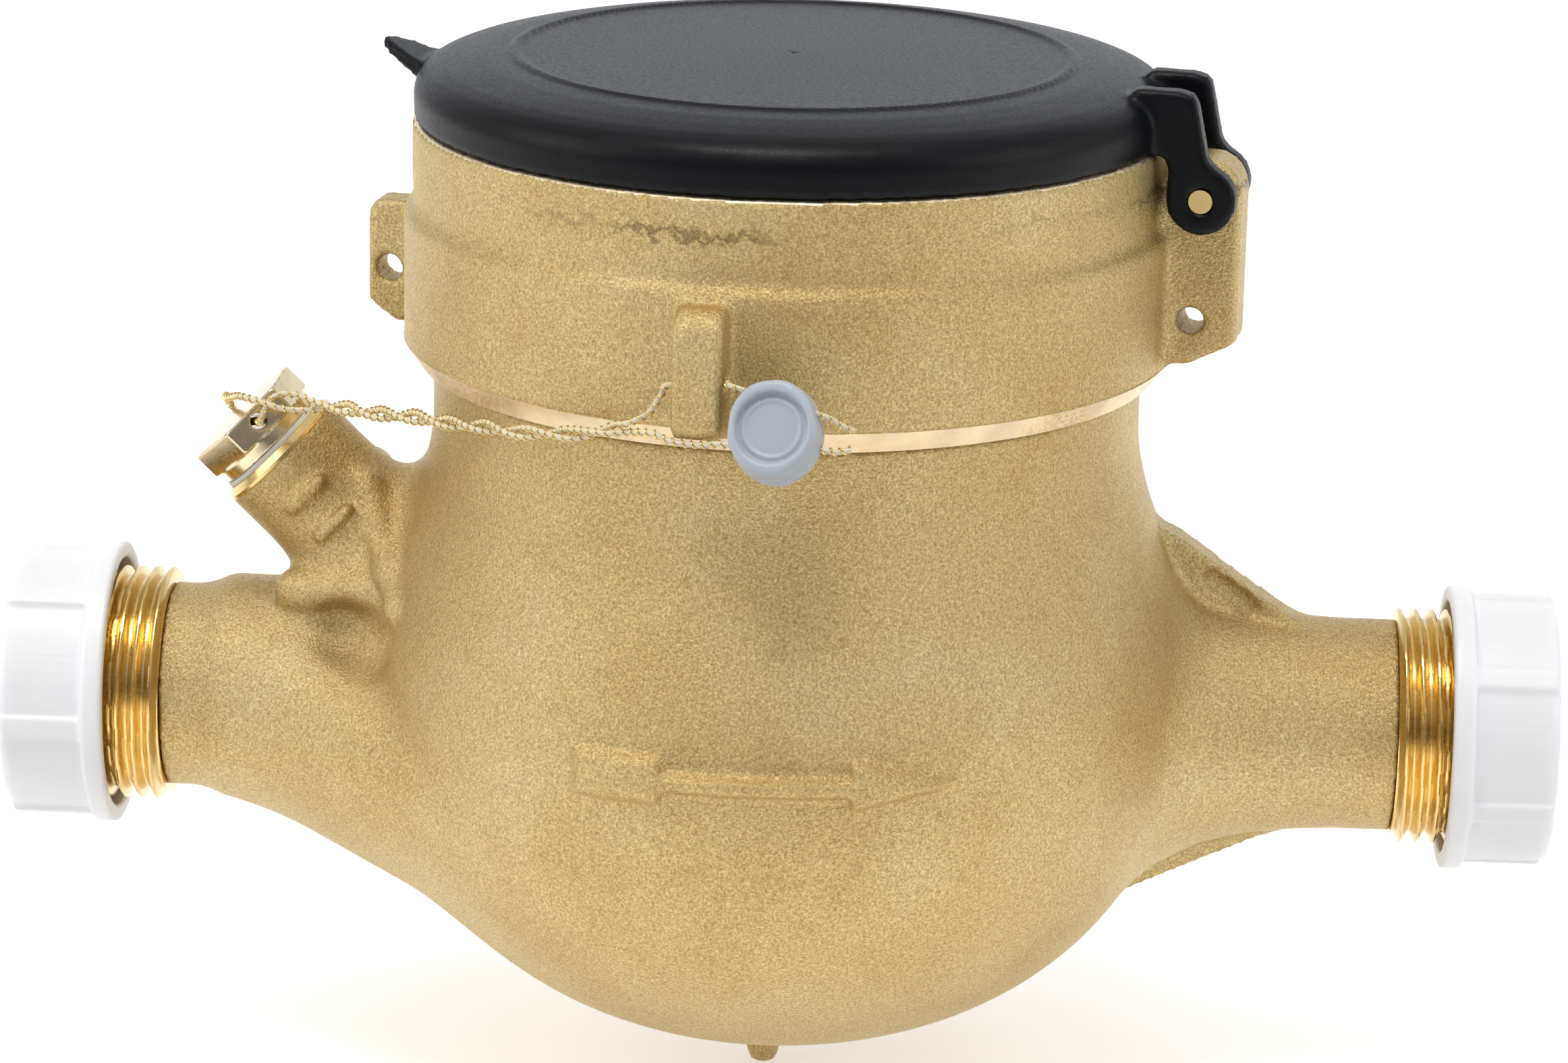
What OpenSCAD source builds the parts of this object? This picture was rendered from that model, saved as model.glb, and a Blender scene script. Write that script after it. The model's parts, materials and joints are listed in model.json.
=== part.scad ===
// Multi-jet water meter with a dry dial. A cast brass body has two threaded
// ports, a regulator neck with a sealed plug and a screwed head ring with a
// hinged lid. The measuring chamber and the register are inside.
// Millimetres. The origin is the centre of the inlet port's face, +X is the
// direction of flow and +Z is up.

/* [Ports] */
// Length from port face to port face
face_to_face = 170; // [165:1:190]
// Outside diameter of the port threads
port_thread_d = 26.44; // [25.5:0.02:28]
// Length of each port thread
port_thread_l = 15.8; // [12:0.1:18]
// Diameter of the waterway in each port
port_bore_d = 18.4; // [16:0.1:19]
// Outside diameter of the cast inlet pipe
inlet_pipe_d = 23; // [22:0.1:25]
// Outside diameter of the cast outlet pipe
outlet_pipe_d = 23.8; // [22:0.1:25]

/* [Body] */
// Largest radius of the belly
belly_r = 46.5; // [45.5:0.1:48]
// Height of the belly's widest ring above the port axis
belly_z = 6; // [4:0.1:8]
// Depth of the bowl below that ring
bowl_depth = 42.5; // [41:0.1:46]
// Fullness of the bowl's curve, 2 is an ellipse
bowl_power = 2.25; // [2.1:0.01:2.5]
// Radius of the neck under the head ring
neck_r = 39.3; // [38.5:0.1:40.5]
// Height at which the belly has become the neck
neck_z = 35; // [33:0.1:37]
// Thickness of the cast wall
wall = 3.6; // [3:0.1:4.2]
// Thickness of the webs between the belly and the outlet pipe
web_t = 5; // [3:0.1:7]
// Height of the nub under the bowl
nub_h = 6.5; // [3:0.1:8]
// Height of the flow arrow above the casting
arrow_t = 0.8; // [0.4:0.1:1.2]

/* [Regulator] */
// Distance of the regulator rim's centre from the meter's axis
regulator_x = 57.5; // [56:0.1:59]
// Height of the regulator rim's centre above the port axis
regulator_z = 28.6; // [27:0.1:30]
// Lean of the regulator neck from upright, in degrees
regulator_lean = 45.5; // [43:0.5:48]
// Diameter of the regulator rim
regulator_d = 15.4; // [14:0.1:17]
// Width of the plug's hexagon across its flats
plug_flats = 12.6; // [11:0.1:14]
// Diameter of the cross hole in the plug
plug_hole_d = 1.9; // [1.5:0.1:2.5]

/* [Head ring] */
// Turn of the head ring and lid about the meter's axis, in degrees
head_turn = -10; // [-14:1:-6]
// Thickness of the head ring's lower wall
ring_wall = 3.7; // [3.2:0.1:4.5]
// Step between the lower and the upper part of the head ring
ring_step = 0.7; // [0.3:0.1:1.2]
// Diameter of the seal holes in the head ring's ears
seal_hole_d = 3; // [2:0.1:3.6]
// Thickness of the hinge ear
hinge_ear_t = 7; // [5:0.1:9]
// Diameter of the hinge pin
hinge_pin_d = 2.6; // [2:0.1:3.2]

/* [Lid] */
// Height of the lid
lid_h = 7.4; // [6.5:0.1:9]
// Thickness of the lid's shell
lid_wall = 2; // [1.4:0.1:2.6]
// Thickness of each hinge cheek of the lid
lid_cheek_t = 3.1; // [2:0.1:4]

/* [Caps] */
// Length of each port cap
cap_l = 12; // [10:0.1:14]
// Thickness of the cap's round wall between its ribs
cap_wall = 0.75; // [0.6:0.05:1.2]
// Height of the cap's ribs
cap_rib_h = 0.5; // [0.2:0.05:0.8]

/* [Chamber] */
// Height of the shelf between the inlet and the outlet space
shelf_z = -9.5; // [-10:0.1:-8.5]
// Outside radius of the chamber cup
chamber_r = 27; // [26:0.1:28]
// Thickness of the chamber walls
chamber_wall = 2.2; // [1.6:0.1:2.6]
// Number of jets in the chamber cup
jet_count = 10; // [6:1:12]
// Number of vanes on the impeller
vane_count = 8; // [5:1:10]

/* [Register] */
// Height of the pressure plate's seat above the port axis
seat_z = 42; // [41:0.1:43]
// Thickness of the pressure plate
plate_t = 5; // [4.5:0.1:6]
// Height of the register can
can_h = 12.6; // [12.2:0.1:13.5]
// Thickness of the window
window_t = 3.5; // [2.5:0.1:4]
// Radius of the digit drums
drum_r = 3.2; // [2.8:0.05:3.3]

/* [Seal] */
// Diameter of the seal
seal_d = 10; // [9:0.1:12]
// Thickness of the seal
seal_t = 4.6; // [3:0.1:5.5]

/* [Hidden] */
$fn = 64;

// Clearances: a running fit, a loose fit and the overlap of joined shapes
run_gap = 0.06;
loose_gap = 0.3;
joined = 0.5;

// Colours
cast_brass = "darkgoldenrod";
bright_brass = "gold";
lid_black = [0.14, 0.15, 0.16];
cap_white = "white";
part_white = "ghostwhite";
rubber_black = [0.1, 0.1, 0.1];
steel_grey = "silver";

// Ports
axis_x = face_to_face / 2;
thread_r = port_thread_d / 2;
bore_r = port_bore_d / 2;
inlet_r = inlet_pipe_d / 2;
outlet_r = outlet_pipe_d / 2;
shoulder_x = axis_x - port_thread_l;

// Outer profile of the body
bowl_steps = 18;
flank_steps = 12;
bowl_bottom = belly_z - bowl_depth;
ring_z = seat_z - 1.2;
body_thread_r = neck_r - 0.7;
body_top = seat_z + 12;
nub_r = 2.15;

// Cavities of the body
shelf_t = 3.5;
plate_bore_r = body_thread_r - 2.3;
neck_bore_r = plate_bore_r - 1.5;
inlet_bore_end = 23;
channel_r = 6;
channel_wall = 2.5;
channel_slope = 31.6;
channel_start = 60;
channel_drop = 0.9;
channel_l = 34;
ramp_x = 62;
ramp_top = -6;
bypass_x = 52;
bypass_r = 1.75;

// Regulator, along its own axis from the rim outwards
regulator_r = regulator_d / 2;
regulator_bore_r = 5;
regulator_bore_l = 24;
plug_gasket_t = 0.5;
plug_collar_t = 1.5;
plug_collar_r = regulator_r - 1.2;
plug_head_t = 3.2;
plug_shank_l = 6;
screw_l = 9;
o_ring_r = 0.9;

// Head ring
ring_bore_r = body_thread_r + loose_gap;
ring_r = ring_bore_r + ring_wall;
ring_upper_r = ring_r - ring_step;
plate_r = plate_bore_r - loose_gap;
can_r = plate_r - 0.4;
ring_chamber_r = can_r + 1;
lip_r = can_r - 3.1;
gasket_t = 1;
plate_z = seat_z + gasket_t;
can_z = plate_z + plate_t;
can_top = can_z + can_h;
thin_gasket_t = 0.4;
window_z = can_top + thin_gasket_t;
window_top = window_z + window_t;
slip_ring_t = 0.5;
lip_z = window_top + slip_ring_t;
lip_t = 2.6;
ring_top = lip_z + lip_t;
ring_step_z = body_top + 3;
ring_step_h = 4.4;
ring_edge = 1.7;
hinge_x = ring_r + 3.8;
hinge_z = ring_top - 4.7;
knuckle_r = 4;
ear_out = hinge_x + knuckle_r;
ear_slant = 5.2;
ear_hole_x = ring_r + 2.8;
ear_hole_z = ring_z + 8.1;
tab_t = 5;
tab_out = ring_r + 5.4;
tab_low = ring_z + 1.1;
tab_high = ring_z + 15;
tab_hole_x = ring_r + 2.9;
tab_hole_z = ring_z + 7.2;
lug_w = 5.4;
lug_turn = 0.7;
lug_out = ring_r + 4.3;
lug_low = ring_z + 2.8;
lug_high = ring_z + 16.8;
lug_hole_r = 1.1;
lug_hole_z = ring_z + 8;

// Lid
lid_r = ring_upper_r - 0.4;
lid_z = ring_top + 0.2;
lid_top = lid_z + lid_h;
lid_edge_r = 4.2;
lid_plateau_r = lid_r - 10.9;
lid_groove = 0.5;
cheek_y = hinge_ear_t / 2 + loose_gap;
cheek_r = 3.75;
tongue_l = 6;
tongue_w = 9;

// Caps
cap_bore_r = thread_r + 0.88;
cap_r = cap_bore_r + cap_wall;
cap_end_t = 1.6;
cap_edge = 0.8;
cap_rib_w = 2.5;
cap_rib_count = 6;
cap_flange_w = 2.3;
cap_flange_h = 1.1;
inlet_cap_turn = 26;
outlet_cap_turn = 9;

// Chamber
cup_floor_z = shelf_z - 14.5;
cup_floor_t = 2;
cup_in_r = chamber_r - chamber_wall;
cup_flange_r = chamber_r + 4;
cup_flange_t = 2;
cup_flange_z = shelf_z + gasket_t;
sleeve_r = chamber_r + 2;
sleeve_in_r = sleeve_r - chamber_wall;
sleeve_z = cup_flange_z + cup_flange_t;
sleeve_top = plate_z - 0.2;
sleeve_floor_z = sleeve_z + 12.5;
sleeve_floor_t = 2;
jet_z = cup_floor_z + 3.5;
jet_h = 5.5;
jet_w = 3.2;
window_gap_z = sleeve_z + 2;
window_gap_h = 7;
vane_r = cup_in_r - 2.6;
vane_t = 1.4;
vane_z = cup_floor_z + cup_floor_t + 2.5;
vane_top = sleeve_floor_z - 3;
hub_r = 4;
shaft_r = 1.5;
pivot_r = 0.8;
pivot_l = 5;
bush_r = 3;
magnet_r = 10;
drive_magnet_t = 5;
drive_magnet_z = plate_z - 1.5 - drive_magnet_t;

// Register
can_wall = 1;
pocket_r = 12;
pocket_depth = 3;
pocket_wall = 0.8;
gear_plate_t = 0.8;
gear_plate_r = can_r - can_wall - 1;
lower_plate_z = can_z + can_wall + 0.1;
upper_plate_z = can_top - 3.4;
dial_z = upper_plate_z + gear_plate_t;
dial_t = 0.5;
dial_r = can_r - can_wall - loose_gap;
layer_a_z = lower_plate_z + gear_plate_t + 0.3;
layer_b_z = layer_a_z + 1.4;
gear_t = 1;
gear_size = 0.5;
spindle_r = 0.8;
pinion_teeth = 10;
star_teeth = 22;
wheel_teeth = 40;
star_reach = gear_size * (pinion_teeth + star_teeth) / 2;
wheel_reach = gear_size * (pinion_teeth + wheel_teeth) / 2;
star_turn = -48.9;
hand_turn = 200;
star_at = star_reach * [cos(star_turn), sin(star_turn)];
hand_at = star_at + wheel_reach * [cos(hand_turn), sin(hand_turn)];
worm_turn = 60;
worm_at = star_at + wheel_reach * [cos(worm_turn), sin(worm_turn)];
worm_r = 1.1;
worm_gap = 0.2;
worm_wheel_teeth = 20;
worm_wheel_r = 2.9;
drum_y = worm_at[1] + worm_r + worm_gap + worm_wheel_r;
drum_z = layer_a_z + gear_t + 0.2 + drum_r;
drum_pitch = 4.6;
drum_w = 4.2;
drum_count = 5;
drum_axle_r = 0.7;
last_drum_x = worm_at[0] - 3.8;
bracket_t = 1.2;
bracket_drop = 1.2;
bracket_left = last_drum_x - (drum_count - 0.5) * drum_pitch - bracket_t;
bracket_low = drum_z - bracket_drop;
bracket_reach = 2.4;
bracket_right = worm_at[0] + bracket_reach;
transfer_r = 1.3;
transfer_y = drum_y + drum_r + loose_gap + transfer_r;
pillar_r = 1.5;
driven_magnet_t = 2.4;
slot_l = 12;
cup_taper = 5;
pillar_inset = 4;
pillar_at = gear_plate_r - pillar_inset;
pointer_z = dial_z + dial_t + 0.6;
pointer_t = 0.6;
dial_ring_in = lip_r - 1.5;

// Turn of the plug in its neck
plug_turn = 22;

// Seal and its wire. The wire's points are relative to the meter's axis.
seal_at = [0.8, -47.9, 44.9];
seal_lean = 26;
seal_turn = -9;
seal_face_d = 7.3;
seal_dish = 0.8;
seal_wire_r = 0.62;
seal_upper = [[-3.76, -46.18, 49.13], [6.07, -47.58, 46.55]];
seal_lower = [[-5.3, -46.82, 43.1], [5.8, -48.07, 43.1]];
strand_r = 0.45;
pair_r = 0.8;
wire_sides = 8;
wire_up = [0.31, 0.52, 0.8];
loop_route = [
    [-51.0, -8.5, 36.25], [-53.9, -8.3, 36.6], [-55.5, -8.1, 36.6],
    [-56.7, -7.9, 36.0], [-57.5, -7.4, 34.7], [-58.2, -6.58, 33.0],
    [-60.07, 0, 31.12], [-61.93, 6.58, 29.23], [-62.67, 7.6, 29.6],
    [-63.46, 7.3, 30.95], [-63.58, 4.5, 32.7], [-63.1, 1.5, 33.6],
    [-62.6, -2.0, 34.3], [-60.7, -6.2, 35.7], [-59.0, -8.2, 35.95],
    [-57.1, -9.1, 35.7], [-55.5, -9.1, 35.2], [-53.4, -8.8, 35.0],
    [-51.0, -8.6, 35.05]
];
pair_route = [
    [-50.6, -8.9, 35.6], [-47.5, -12.0, 36.2], [-44.7, -15.3, 36.7],
    [-40.8, -19.6, 37.7], [-37.8, -22.9, 38.3], [-34.6, -26.6, 38.9],
    [-30.5, -31.2, 39.9], [-27.1, -34.7, 40.4], [-23.4, -37.6, 41.2],
    [-19.9, -39.9, 41.8], [-17.3, -41.5, 42.7], [-14.3, -43.3, 43.7]
];
end_routes = [
    [[-13.6, -43.4, 44.5], [-12.7, -43.5, 45.1], [-11.9, -43.5, 46.1],
     [-11.2, -43.4, 47.3], [-10.6, -43.46, 48.3],
     [-7.21, -44.01, 48.6], [-4.35, -44.48, 48.85], [-4.05, -45.25, 49.05],
     seal_upper[0], seal_upper[1], [7.4, -47.6, 45.8], [8.9, -47.7, 45.2]],
    [[-13.4, -44.3, 43.5], [-12.0, -44.9, 43.5], [-10.3, -45.5, 42.9],
     [-8.1, -45.9, 42.7], [-6.2, -46.5, 42.85], seal_lower[0], seal_lower[1],
     [7.0, -48.1, 42.95], [8.7, -47.9, 43.2]]
];

// Places
module at_axis() {
    translate([axis_x, 0, 0]) children();
}

module at_head() {
    at_axis() rotate(head_turn) children();
}

module at_regulator() {
    at_axis() translate([-regulator_x, 0, regulator_z]) rotate([0, -regulator_lean, 0]) children();
}

module at_spot(p) {
    at_axis() translate([p[0], p[1], 0]) children();
}

// A ring of rectangular section
module ring(r_in, r_out, z, h) {
    translate([0, 0, z]) difference() {
        cylinder(r = r_out, h = h);
        translate([0, 0, -joined]) cylinder(r = r_in, h = h + 2 * joined);
    }
}

// A shape drawn in X and Z, given a thickness along Y about the middle plane
module upright(t) {
    translate([0, t / 2, 0]) rotate([90, 0, 0]) linear_extrude(t) children();
}

// A plain gear with its first tooth turned to the angle given
module gear(teeth, z, turn) {
    root_r = gear_size * (teeth / 2 - 1.2);
    tip_r = gear_size * (teeth / 2 + 0.8);
    tooth = [[root_r, -0.25], [tip_r, -0.1], [tip_r, 0.1], [root_r, 0.25]];
    translate([0, 0, z]) rotate(turn) linear_extrude(gear_t) polygon([
        for (i = [0 : teeth - 1]) for (p = tooth)
            let (a = (i + p[1]) * 360 / teeth) p[0] * [cos(a), sin(a)]
    ]);
}

// A round hole from one point to another, and a little past both
module straight_hole(from, to, r) {
    along = to - from;
    level = norm([along[0], along[1]]);
    translate(from) rotate([0, atan2(level, along[2]), atan2(along[1], along[0])])
        translate([0, 0, -joined]) cylinder(r = r, h = norm(along) + 2 * joined);
}

// A round tube along a list of points
function unit(v) = v / norm(v);
function heading(route, i) = let (n = len(route) - 1)
    unit(route[min(i + 1, n)] - route[max(i - 1, 0)]);
function wire_ring(p, along, r) = let (u = unit(cross(along, wire_up)), v = cross(along, u)) [
    for (k = [0 : wire_sides - 1]) let (a = k * 360 / wire_sides) p + r * (cos(a) * u + sin(a) * v)
];

module wire(route, r) {
    rings = len(route);
    points = [for (i = [0 : rings - 1]) each wire_ring(route[i], heading(route, i), r)];
    walls = [
        for (i = [0 : rings - 2]) for (k = [0 : wire_sides - 1]) let (n = (k + 1) % wire_sides)
            [i * wire_sides + k, (i + 1) * wire_sides + k, (i + 1) * wire_sides + n, i * wire_sides + n]
    ];
    first = [for (k = [0 : wire_sides - 1]) k];
    last = [for (k = [wire_sides - 1 : -1 : 0]) (rings - 1) * wire_sides + k];
    polyhedron(points, concat([first], walls, [last]));
}

// Profile of the body: a full bowl below, a soft flank up to the neck
function bowl_point(a, inset) = [
    (belly_r - inset) * pow(cos(a), 2 / bowl_power),
    belly_z - (bowl_depth - inset) * pow(sin(a), 2 / bowl_power)
];
function bowl_angle(z, inset) = asin(pow((belly_z - z) / (bowl_depth - inset), bowl_power / 2));
function bowl_curve(from, to, inset, steps) = [
    for (i = [0 : steps]) bowl_point(from + (to - from) * i / steps, inset)
];
function flank_curve(inset, end_r) = [
    for (i = [1 : flank_steps]) let (t = i / flank_steps)
        [end_r + (belly_r - inset - end_r) * (1 + cos(180 * t)) / 2, belly_z + (neck_z - belly_z) * t]
];

module body_shape(grow = 0) {
    rotate_extrude() polygon(concat(
        bowl_curve(90, 0, -grow, bowl_steps),
        flank_curve(-grow, neck_r + grow),
        [[neck_r + grow, ring_z - 0.4], [body_thread_r, ring_z - 0.4], [body_thread_r, body_top], [0, body_top]]
    ));
}

module inlet_ramp() {
    hull() {
        translate([-ramp_x, 0, 0]) rotate([0, 90, 0]) cylinder(r = inlet_r, h = 2, $fn = 32);
        rotate_extrude($fn = 48) polygon(concat(
            [[0, bowl_bottom + joined], [0, ramp_top]],
            bowl_curve(bowl_angle(ramp_top, joined), 80, joined, 6)
        ));
    }
}

module outlet_pipe() {
    pipe_l = shoulder_x - 36;
    rotate([0, 90, 0]) translate([0, 0, 36]) rotate_extrude() polygon([
        [0, 0], [outlet_r + 7, 0], [outlet_r + 4.2, 8], [outlet_r + 2.2, 12],
        [outlet_r + 0.9, 17], [outlet_r + 0.2, 23], [outlet_r, 27], [outlet_r, pipe_l + joined],
        [0, pipe_l + joined]
    ]);
}

module webs() {
    upright(web_t) polygon([
        [36, outlet_r], [belly_r - 3, outlet_r + 11], [belly_r - 1.4, outlet_r + 10.2],
        [belly_r + 11.8, outlet_r + 1.2], [belly_r + 13.5, outlet_r - 1], [36, 0]
    ]);
    upright(web_t) polygon([
        [30, -outlet_r], [belly_r - 7.6, -outlet_r - 9.6], [belly_r + 10.5, -outlet_r - 1.2],
        [belly_r + 12, -outlet_r + 1], [30, 0]
    ]);
}

module regulator_neck() {
    foot_r = 3.2;
    at_neck_l = 20;
    translate([-regulator_x, 0, regulator_z]) rotate([0, -regulator_lean, 0]) {
        translate([0, 0, -at_neck_l]) cylinder(r = regulator_r, h = at_neck_l);
        translate([0, 0, -at_neck_l]) cylinder(r1 = regulator_r + foot_r, r2 = regulator_r, h = 10);
        for (z = [-6.5, -10.5])
            translate([0, -regulator_r + 0.2, z]) rotate([0, 90, 0]) cylinder(r = 0.9, h = 7, center = true);
    }
}

module flow_arrow() {
    arrow_z = 6.6;
    intersection() {
        upright(4 * belly_r) translate([0, arrow_z]) polygon([
            [-19.6, -3.2], [-11, -3.2], [-9.6, -1], [9.4, -1], [9.4, -2.8], [17.5, -1],
            [20.4, 0], [17.5, 1], [9.4, 2.8], [9.4, 1], [-9.6, 1], [-11, 3.2], [-19.6, 3.2], [-18.2, 0]
        ]);
        translate([-belly_r, -2 * belly_r, 0]) cube([2 * belly_r, 2 * belly_r, 2 * arrow_z]);
        body_shape(arrow_t);
    }
}

module inlet_channel(r) {
    translate([-channel_start, 0, -channel_drop]) rotate([0, 90 + channel_slope, 0]) translate([0, 0, -6])
        cylinder(r = r, h = channel_l + 6);
}

module upper_space() {
    shelf_a = bowl_angle(shelf_z, wall);
    difference() {
        rotate_extrude() polygon(concat(
            [[0, shelf_z]],
            bowl_curve(shelf_a, 0, wall, 6),
            flank_curve(wall, neck_bore_r),
            [[neck_bore_r, seat_z], [plate_bore_r, seat_z], [plate_bore_r, body_top + 1], [0, body_top + 1]]
        ));
        difference() {
            inlet_channel(channel_r + channel_wall);
            translate([0, 0, -belly_r]) cylinder(r = cup_flange_r + loose_gap, h = 2 * belly_r);
        }
    }
}

module lower_space() {
    under_a = bowl_angle(shelf_z - shelf_t, wall);
    rotate_extrude() polygon(concat(
        [[0, shelf_z - shelf_t]],
        bowl_curve(under_a, 84, wall, 10),
        [[0, bowl_bottom + wall + 0.4]]
    ));
}

// Body: one brass casting with machined threads, rims and seats
module meter_body() {
    color(cast_brass) at_axis() difference() {
        union() {
            body_shape();
            inlet_ramp();
            outlet_pipe();
            webs();
            regulator_neck();
            flow_arrow();
            translate([-shoulder_x - joined, 0, 0]) rotate([0, 90, 0]) cylinder(r = inlet_r, h = 32);
            for (side = [-1, 1])
                rotate([0, side * 90, 0]) translate([0, 0, shoulder_x]) cylinder(r = thread_r, h = port_thread_l);
            translate([0, 0, bowl_bottom - nub_h]) cylinder(r1 = nub_r * 0.7, r2 = nub_r, h = nub_h - 2.4);
            translate([0, 0, bowl_bottom - 2.4]) cylinder(r1 = nub_r, r2 = nub_r * 2.4, h = 3.4);
        }
        upper_space();
        lower_space();
        translate([0, 0, shelf_z - shelf_t - joined])
            cylinder(r = chamber_r + loose_gap, h = shelf_t + 2 * joined);
        inlet_channel(channel_r);
        translate([-axis_x - 1, 0, 0]) rotate([0, 90, 0]) cylinder(r = bore_r, h = inlet_bore_end + 1);
        translate([36, 0, 0]) rotate([0, 90, 0]) cylinder(r = bore_r, h = axis_x);
        translate([-regulator_x, 0, regulator_z]) rotate([0, -regulator_lean, 0])
            translate([0, 0, -regulator_bore_l]) cylinder(r = regulator_bore_r, h = regulator_bore_l + 1);
        translate([-bypass_x, 0, -4]) cylinder(r = bypass_r, h = regulator_z - 6);
    }
}

module hinge_ear() {
    upright(hinge_ear_t) difference() {
        union() {
            polygon([
                [ring_bore_r + 1.2, ring_z + 3.1], [ear_out - ear_slant, ring_z + 3.1], [ear_out, ring_z + 5.9],
                [ear_out, hinge_z], [ring_bore_r + 1.2, hinge_z]
            ]);
            translate([hinge_x, hinge_z]) circle(r = knuckle_r);
        }
        translate([hinge_x, hinge_z]) circle(d = hinge_pin_d + run_gap);
        translate([ear_hole_x, ear_hole_z]) circle(d = seal_hole_d);
    }
}

module seal_tab() {
    corner = 2;
    mirror([1, 0, 0]) upright(tab_t) difference() {
        union() {
            polygon([
                [ring_bore_r + 1.2, tab_low], [tab_out - 3, tab_low], [tab_out, tab_low + 2.4],
                [tab_out, tab_high - corner], [tab_out - corner, tab_high], [ring_bore_r + 1.2, tab_high]
            ]);
            translate([tab_out - corner, tab_high - corner]) circle(r = corner);
        }
        translate([tab_hole_x, tab_hole_z]) circle(d = seal_hole_d);
    }
}

module seal_lug() {
    corner = 1.6;
    top = [lug_out - corner, lug_high - corner];
    low = [lug_out - corner, lug_low + corner];
    rotate(lug_turn - 90) upright(lug_w) difference() {
        union() {
            polygon([
                [ring_bore_r + 1.2, lug_low], [low[0], lug_low], [lug_out, low[1]],
                [lug_out, top[1]], [top[0], lug_high], [ring_bore_r + 1.2, lug_high]
            ]);
            translate(top) circle(r = corner);
            translate(low) circle(r = corner);
        }
        translate([ring_r + 2, lug_hole_z]) circle(r = lug_hole_r);
    }
}

// Head ring: brass, screwed on the body, clamps the register
module head_ring() {
    color(cast_brass) at_head() union() {
        rotate_extrude() polygon([
            [ring_bore_r, ring_z], [ring_r - ring_edge, ring_z], [ring_r, ring_z + ring_edge],
            [ring_r, ring_step_z - ring_step_h], [ring_upper_r, ring_step_z],
            [ring_upper_r, ring_top - 0.4], [ring_upper_r - 0.4, ring_top],
            [lip_r, ring_top], [lip_r, lip_z], [ring_chamber_r, lip_z],
            [ring_chamber_r, body_top + loose_gap], [ring_bore_r, body_top + loose_gap]
        ]);
        hinge_ear();
        seal_tab();
        seal_lug();
    }
}

// Hinge pin: brass, held in the head ring's ear, carries the lid's cheeks
module hinge_pin() {
    pin_l = hinge_ear_t + 2 * (loose_gap + lid_cheek_t) - 0.4;
    color(bright_brass) at_head() translate([hinge_x, pin_l / 2, hinge_z]) rotate([90, 0, 0])
        cylinder(d = hinge_pin_d, h = pin_l);
}

// Lid: moulded cover with a rounded shoulder, a raised ring, a lifting tongue
// and two hinge cheeks
module lid_cheek() {
    upright(lid_cheek_t) difference() {
        union() {
            polygon([
                [lid_r - 1.6, lid_z + 0.3], [lid_r - 1.6, lid_top - 0.5], [hinge_x - 1.8, lid_top - 0.2],
                [hinge_x - 0.9, lid_top - 1], [hinge_x + 0.6, hinge_z + cheek_r + 0.5],
                [hinge_x + cheek_r, hinge_z + 0.8], [hinge_x + cheek_r, hinge_z],
                [hinge_x - cheek_r, hinge_z], [hinge_x - cheek_r, lid_z - 1],
                [ring_upper_r + 0.5, lid_z + 0.3]
            ]);
            translate([hinge_x, hinge_z]) circle(r = cheek_r);
        }
        translate([hinge_x, hinge_z]) circle(d = hinge_pin_d + 2 * run_gap);
    }
}

module lid() {
    inner_r = lid_r - lid_wall;
    under = lid_top - lid_wall;
    color(lid_black) at_head() union() {
        rotate_extrude() polygon([
            [inner_r, lid_z], [lid_r, lid_z], [lid_r + 0.1, lid_top - lid_edge_r],
            [lid_r - 0.6, lid_top - 2.6], [lid_r - 2.2, lid_top - 1.4], [lid_r - 4.6, lid_top - 0.7],
            [lid_plateau_r + 0.9, lid_top - 0.3], [lid_plateau_r + 0.6, lid_top],
            [lid_plateau_r - 0.2, lid_top], [lid_plateau_r - 0.6, lid_top - lid_groove],
            [lid_plateau_r - 2.2, lid_top - lid_groove], [lid_plateau_r - 2.6, lid_top - 0.2],
            [0, lid_top], [0, under], [lid_plateau_r, under - 0.6], [inner_r - 2.4, under - 1.6],
            [inner_r, lid_top - lid_edge_r - 0.4]
        ]);
        for (side = [-1, 1]) translate([0, side * (cheek_y + lid_cheek_t / 2), 0]) lid_cheek();
        translate([-lid_r, 0, lid_z + 2.6]) rotate([0, 28, 0]) translate([-tongue_l, 0, 0])
            linear_extrude(1.8) polygon([
                [0, -0.8], [tongue_l * 0.4, -tongue_w * 0.32], [tongue_l + 1.6, -tongue_w / 2],
                [tongue_l + 1.6, tongue_w / 2], [tongue_l * 0.4, tongue_w * 0.32], [0, 0.8]
            ]);
    }
}

// Caps: moulded covers with a flange and six ribs, pulled off before fitting
module port_cap(turn) {
    cap_in_l = cap_l - cap_end_t;
    side_l = cap_l - cap_edge;
    color(cap_white) rotate([0, -90, 0]) translate([0, 0, -cap_in_l + loose_gap]) difference() {
        union() {
            cylinder(r = cap_r, h = side_l);
            translate([0, 0, side_l]) cylinder(r1 = cap_r, r2 = cap_r - cap_edge, h = cap_edge);
            cylinder(r = cap_r + cap_flange_h, h = cap_flange_w);
            for (i = [0 : cap_rib_count - 1])
                rotate(turn + i * 360 / cap_rib_count) translate([cap_bore_r + joined, -cap_rib_w / 2, 0])
                    cube([cap_wall + cap_rib_h - joined, cap_rib_w, side_l]);
        }
        translate([0, 0, -1]) cylinder(r = cap_bore_r, h = cap_in_l + 1);
    }
}

module inlet_cap() {
    port_cap(inlet_cap_turn);
}

module outlet_cap() {
    translate([face_to_face, 0, 0]) mirror([1, 0, 0]) port_cap(outlet_cap_turn);
}

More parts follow.
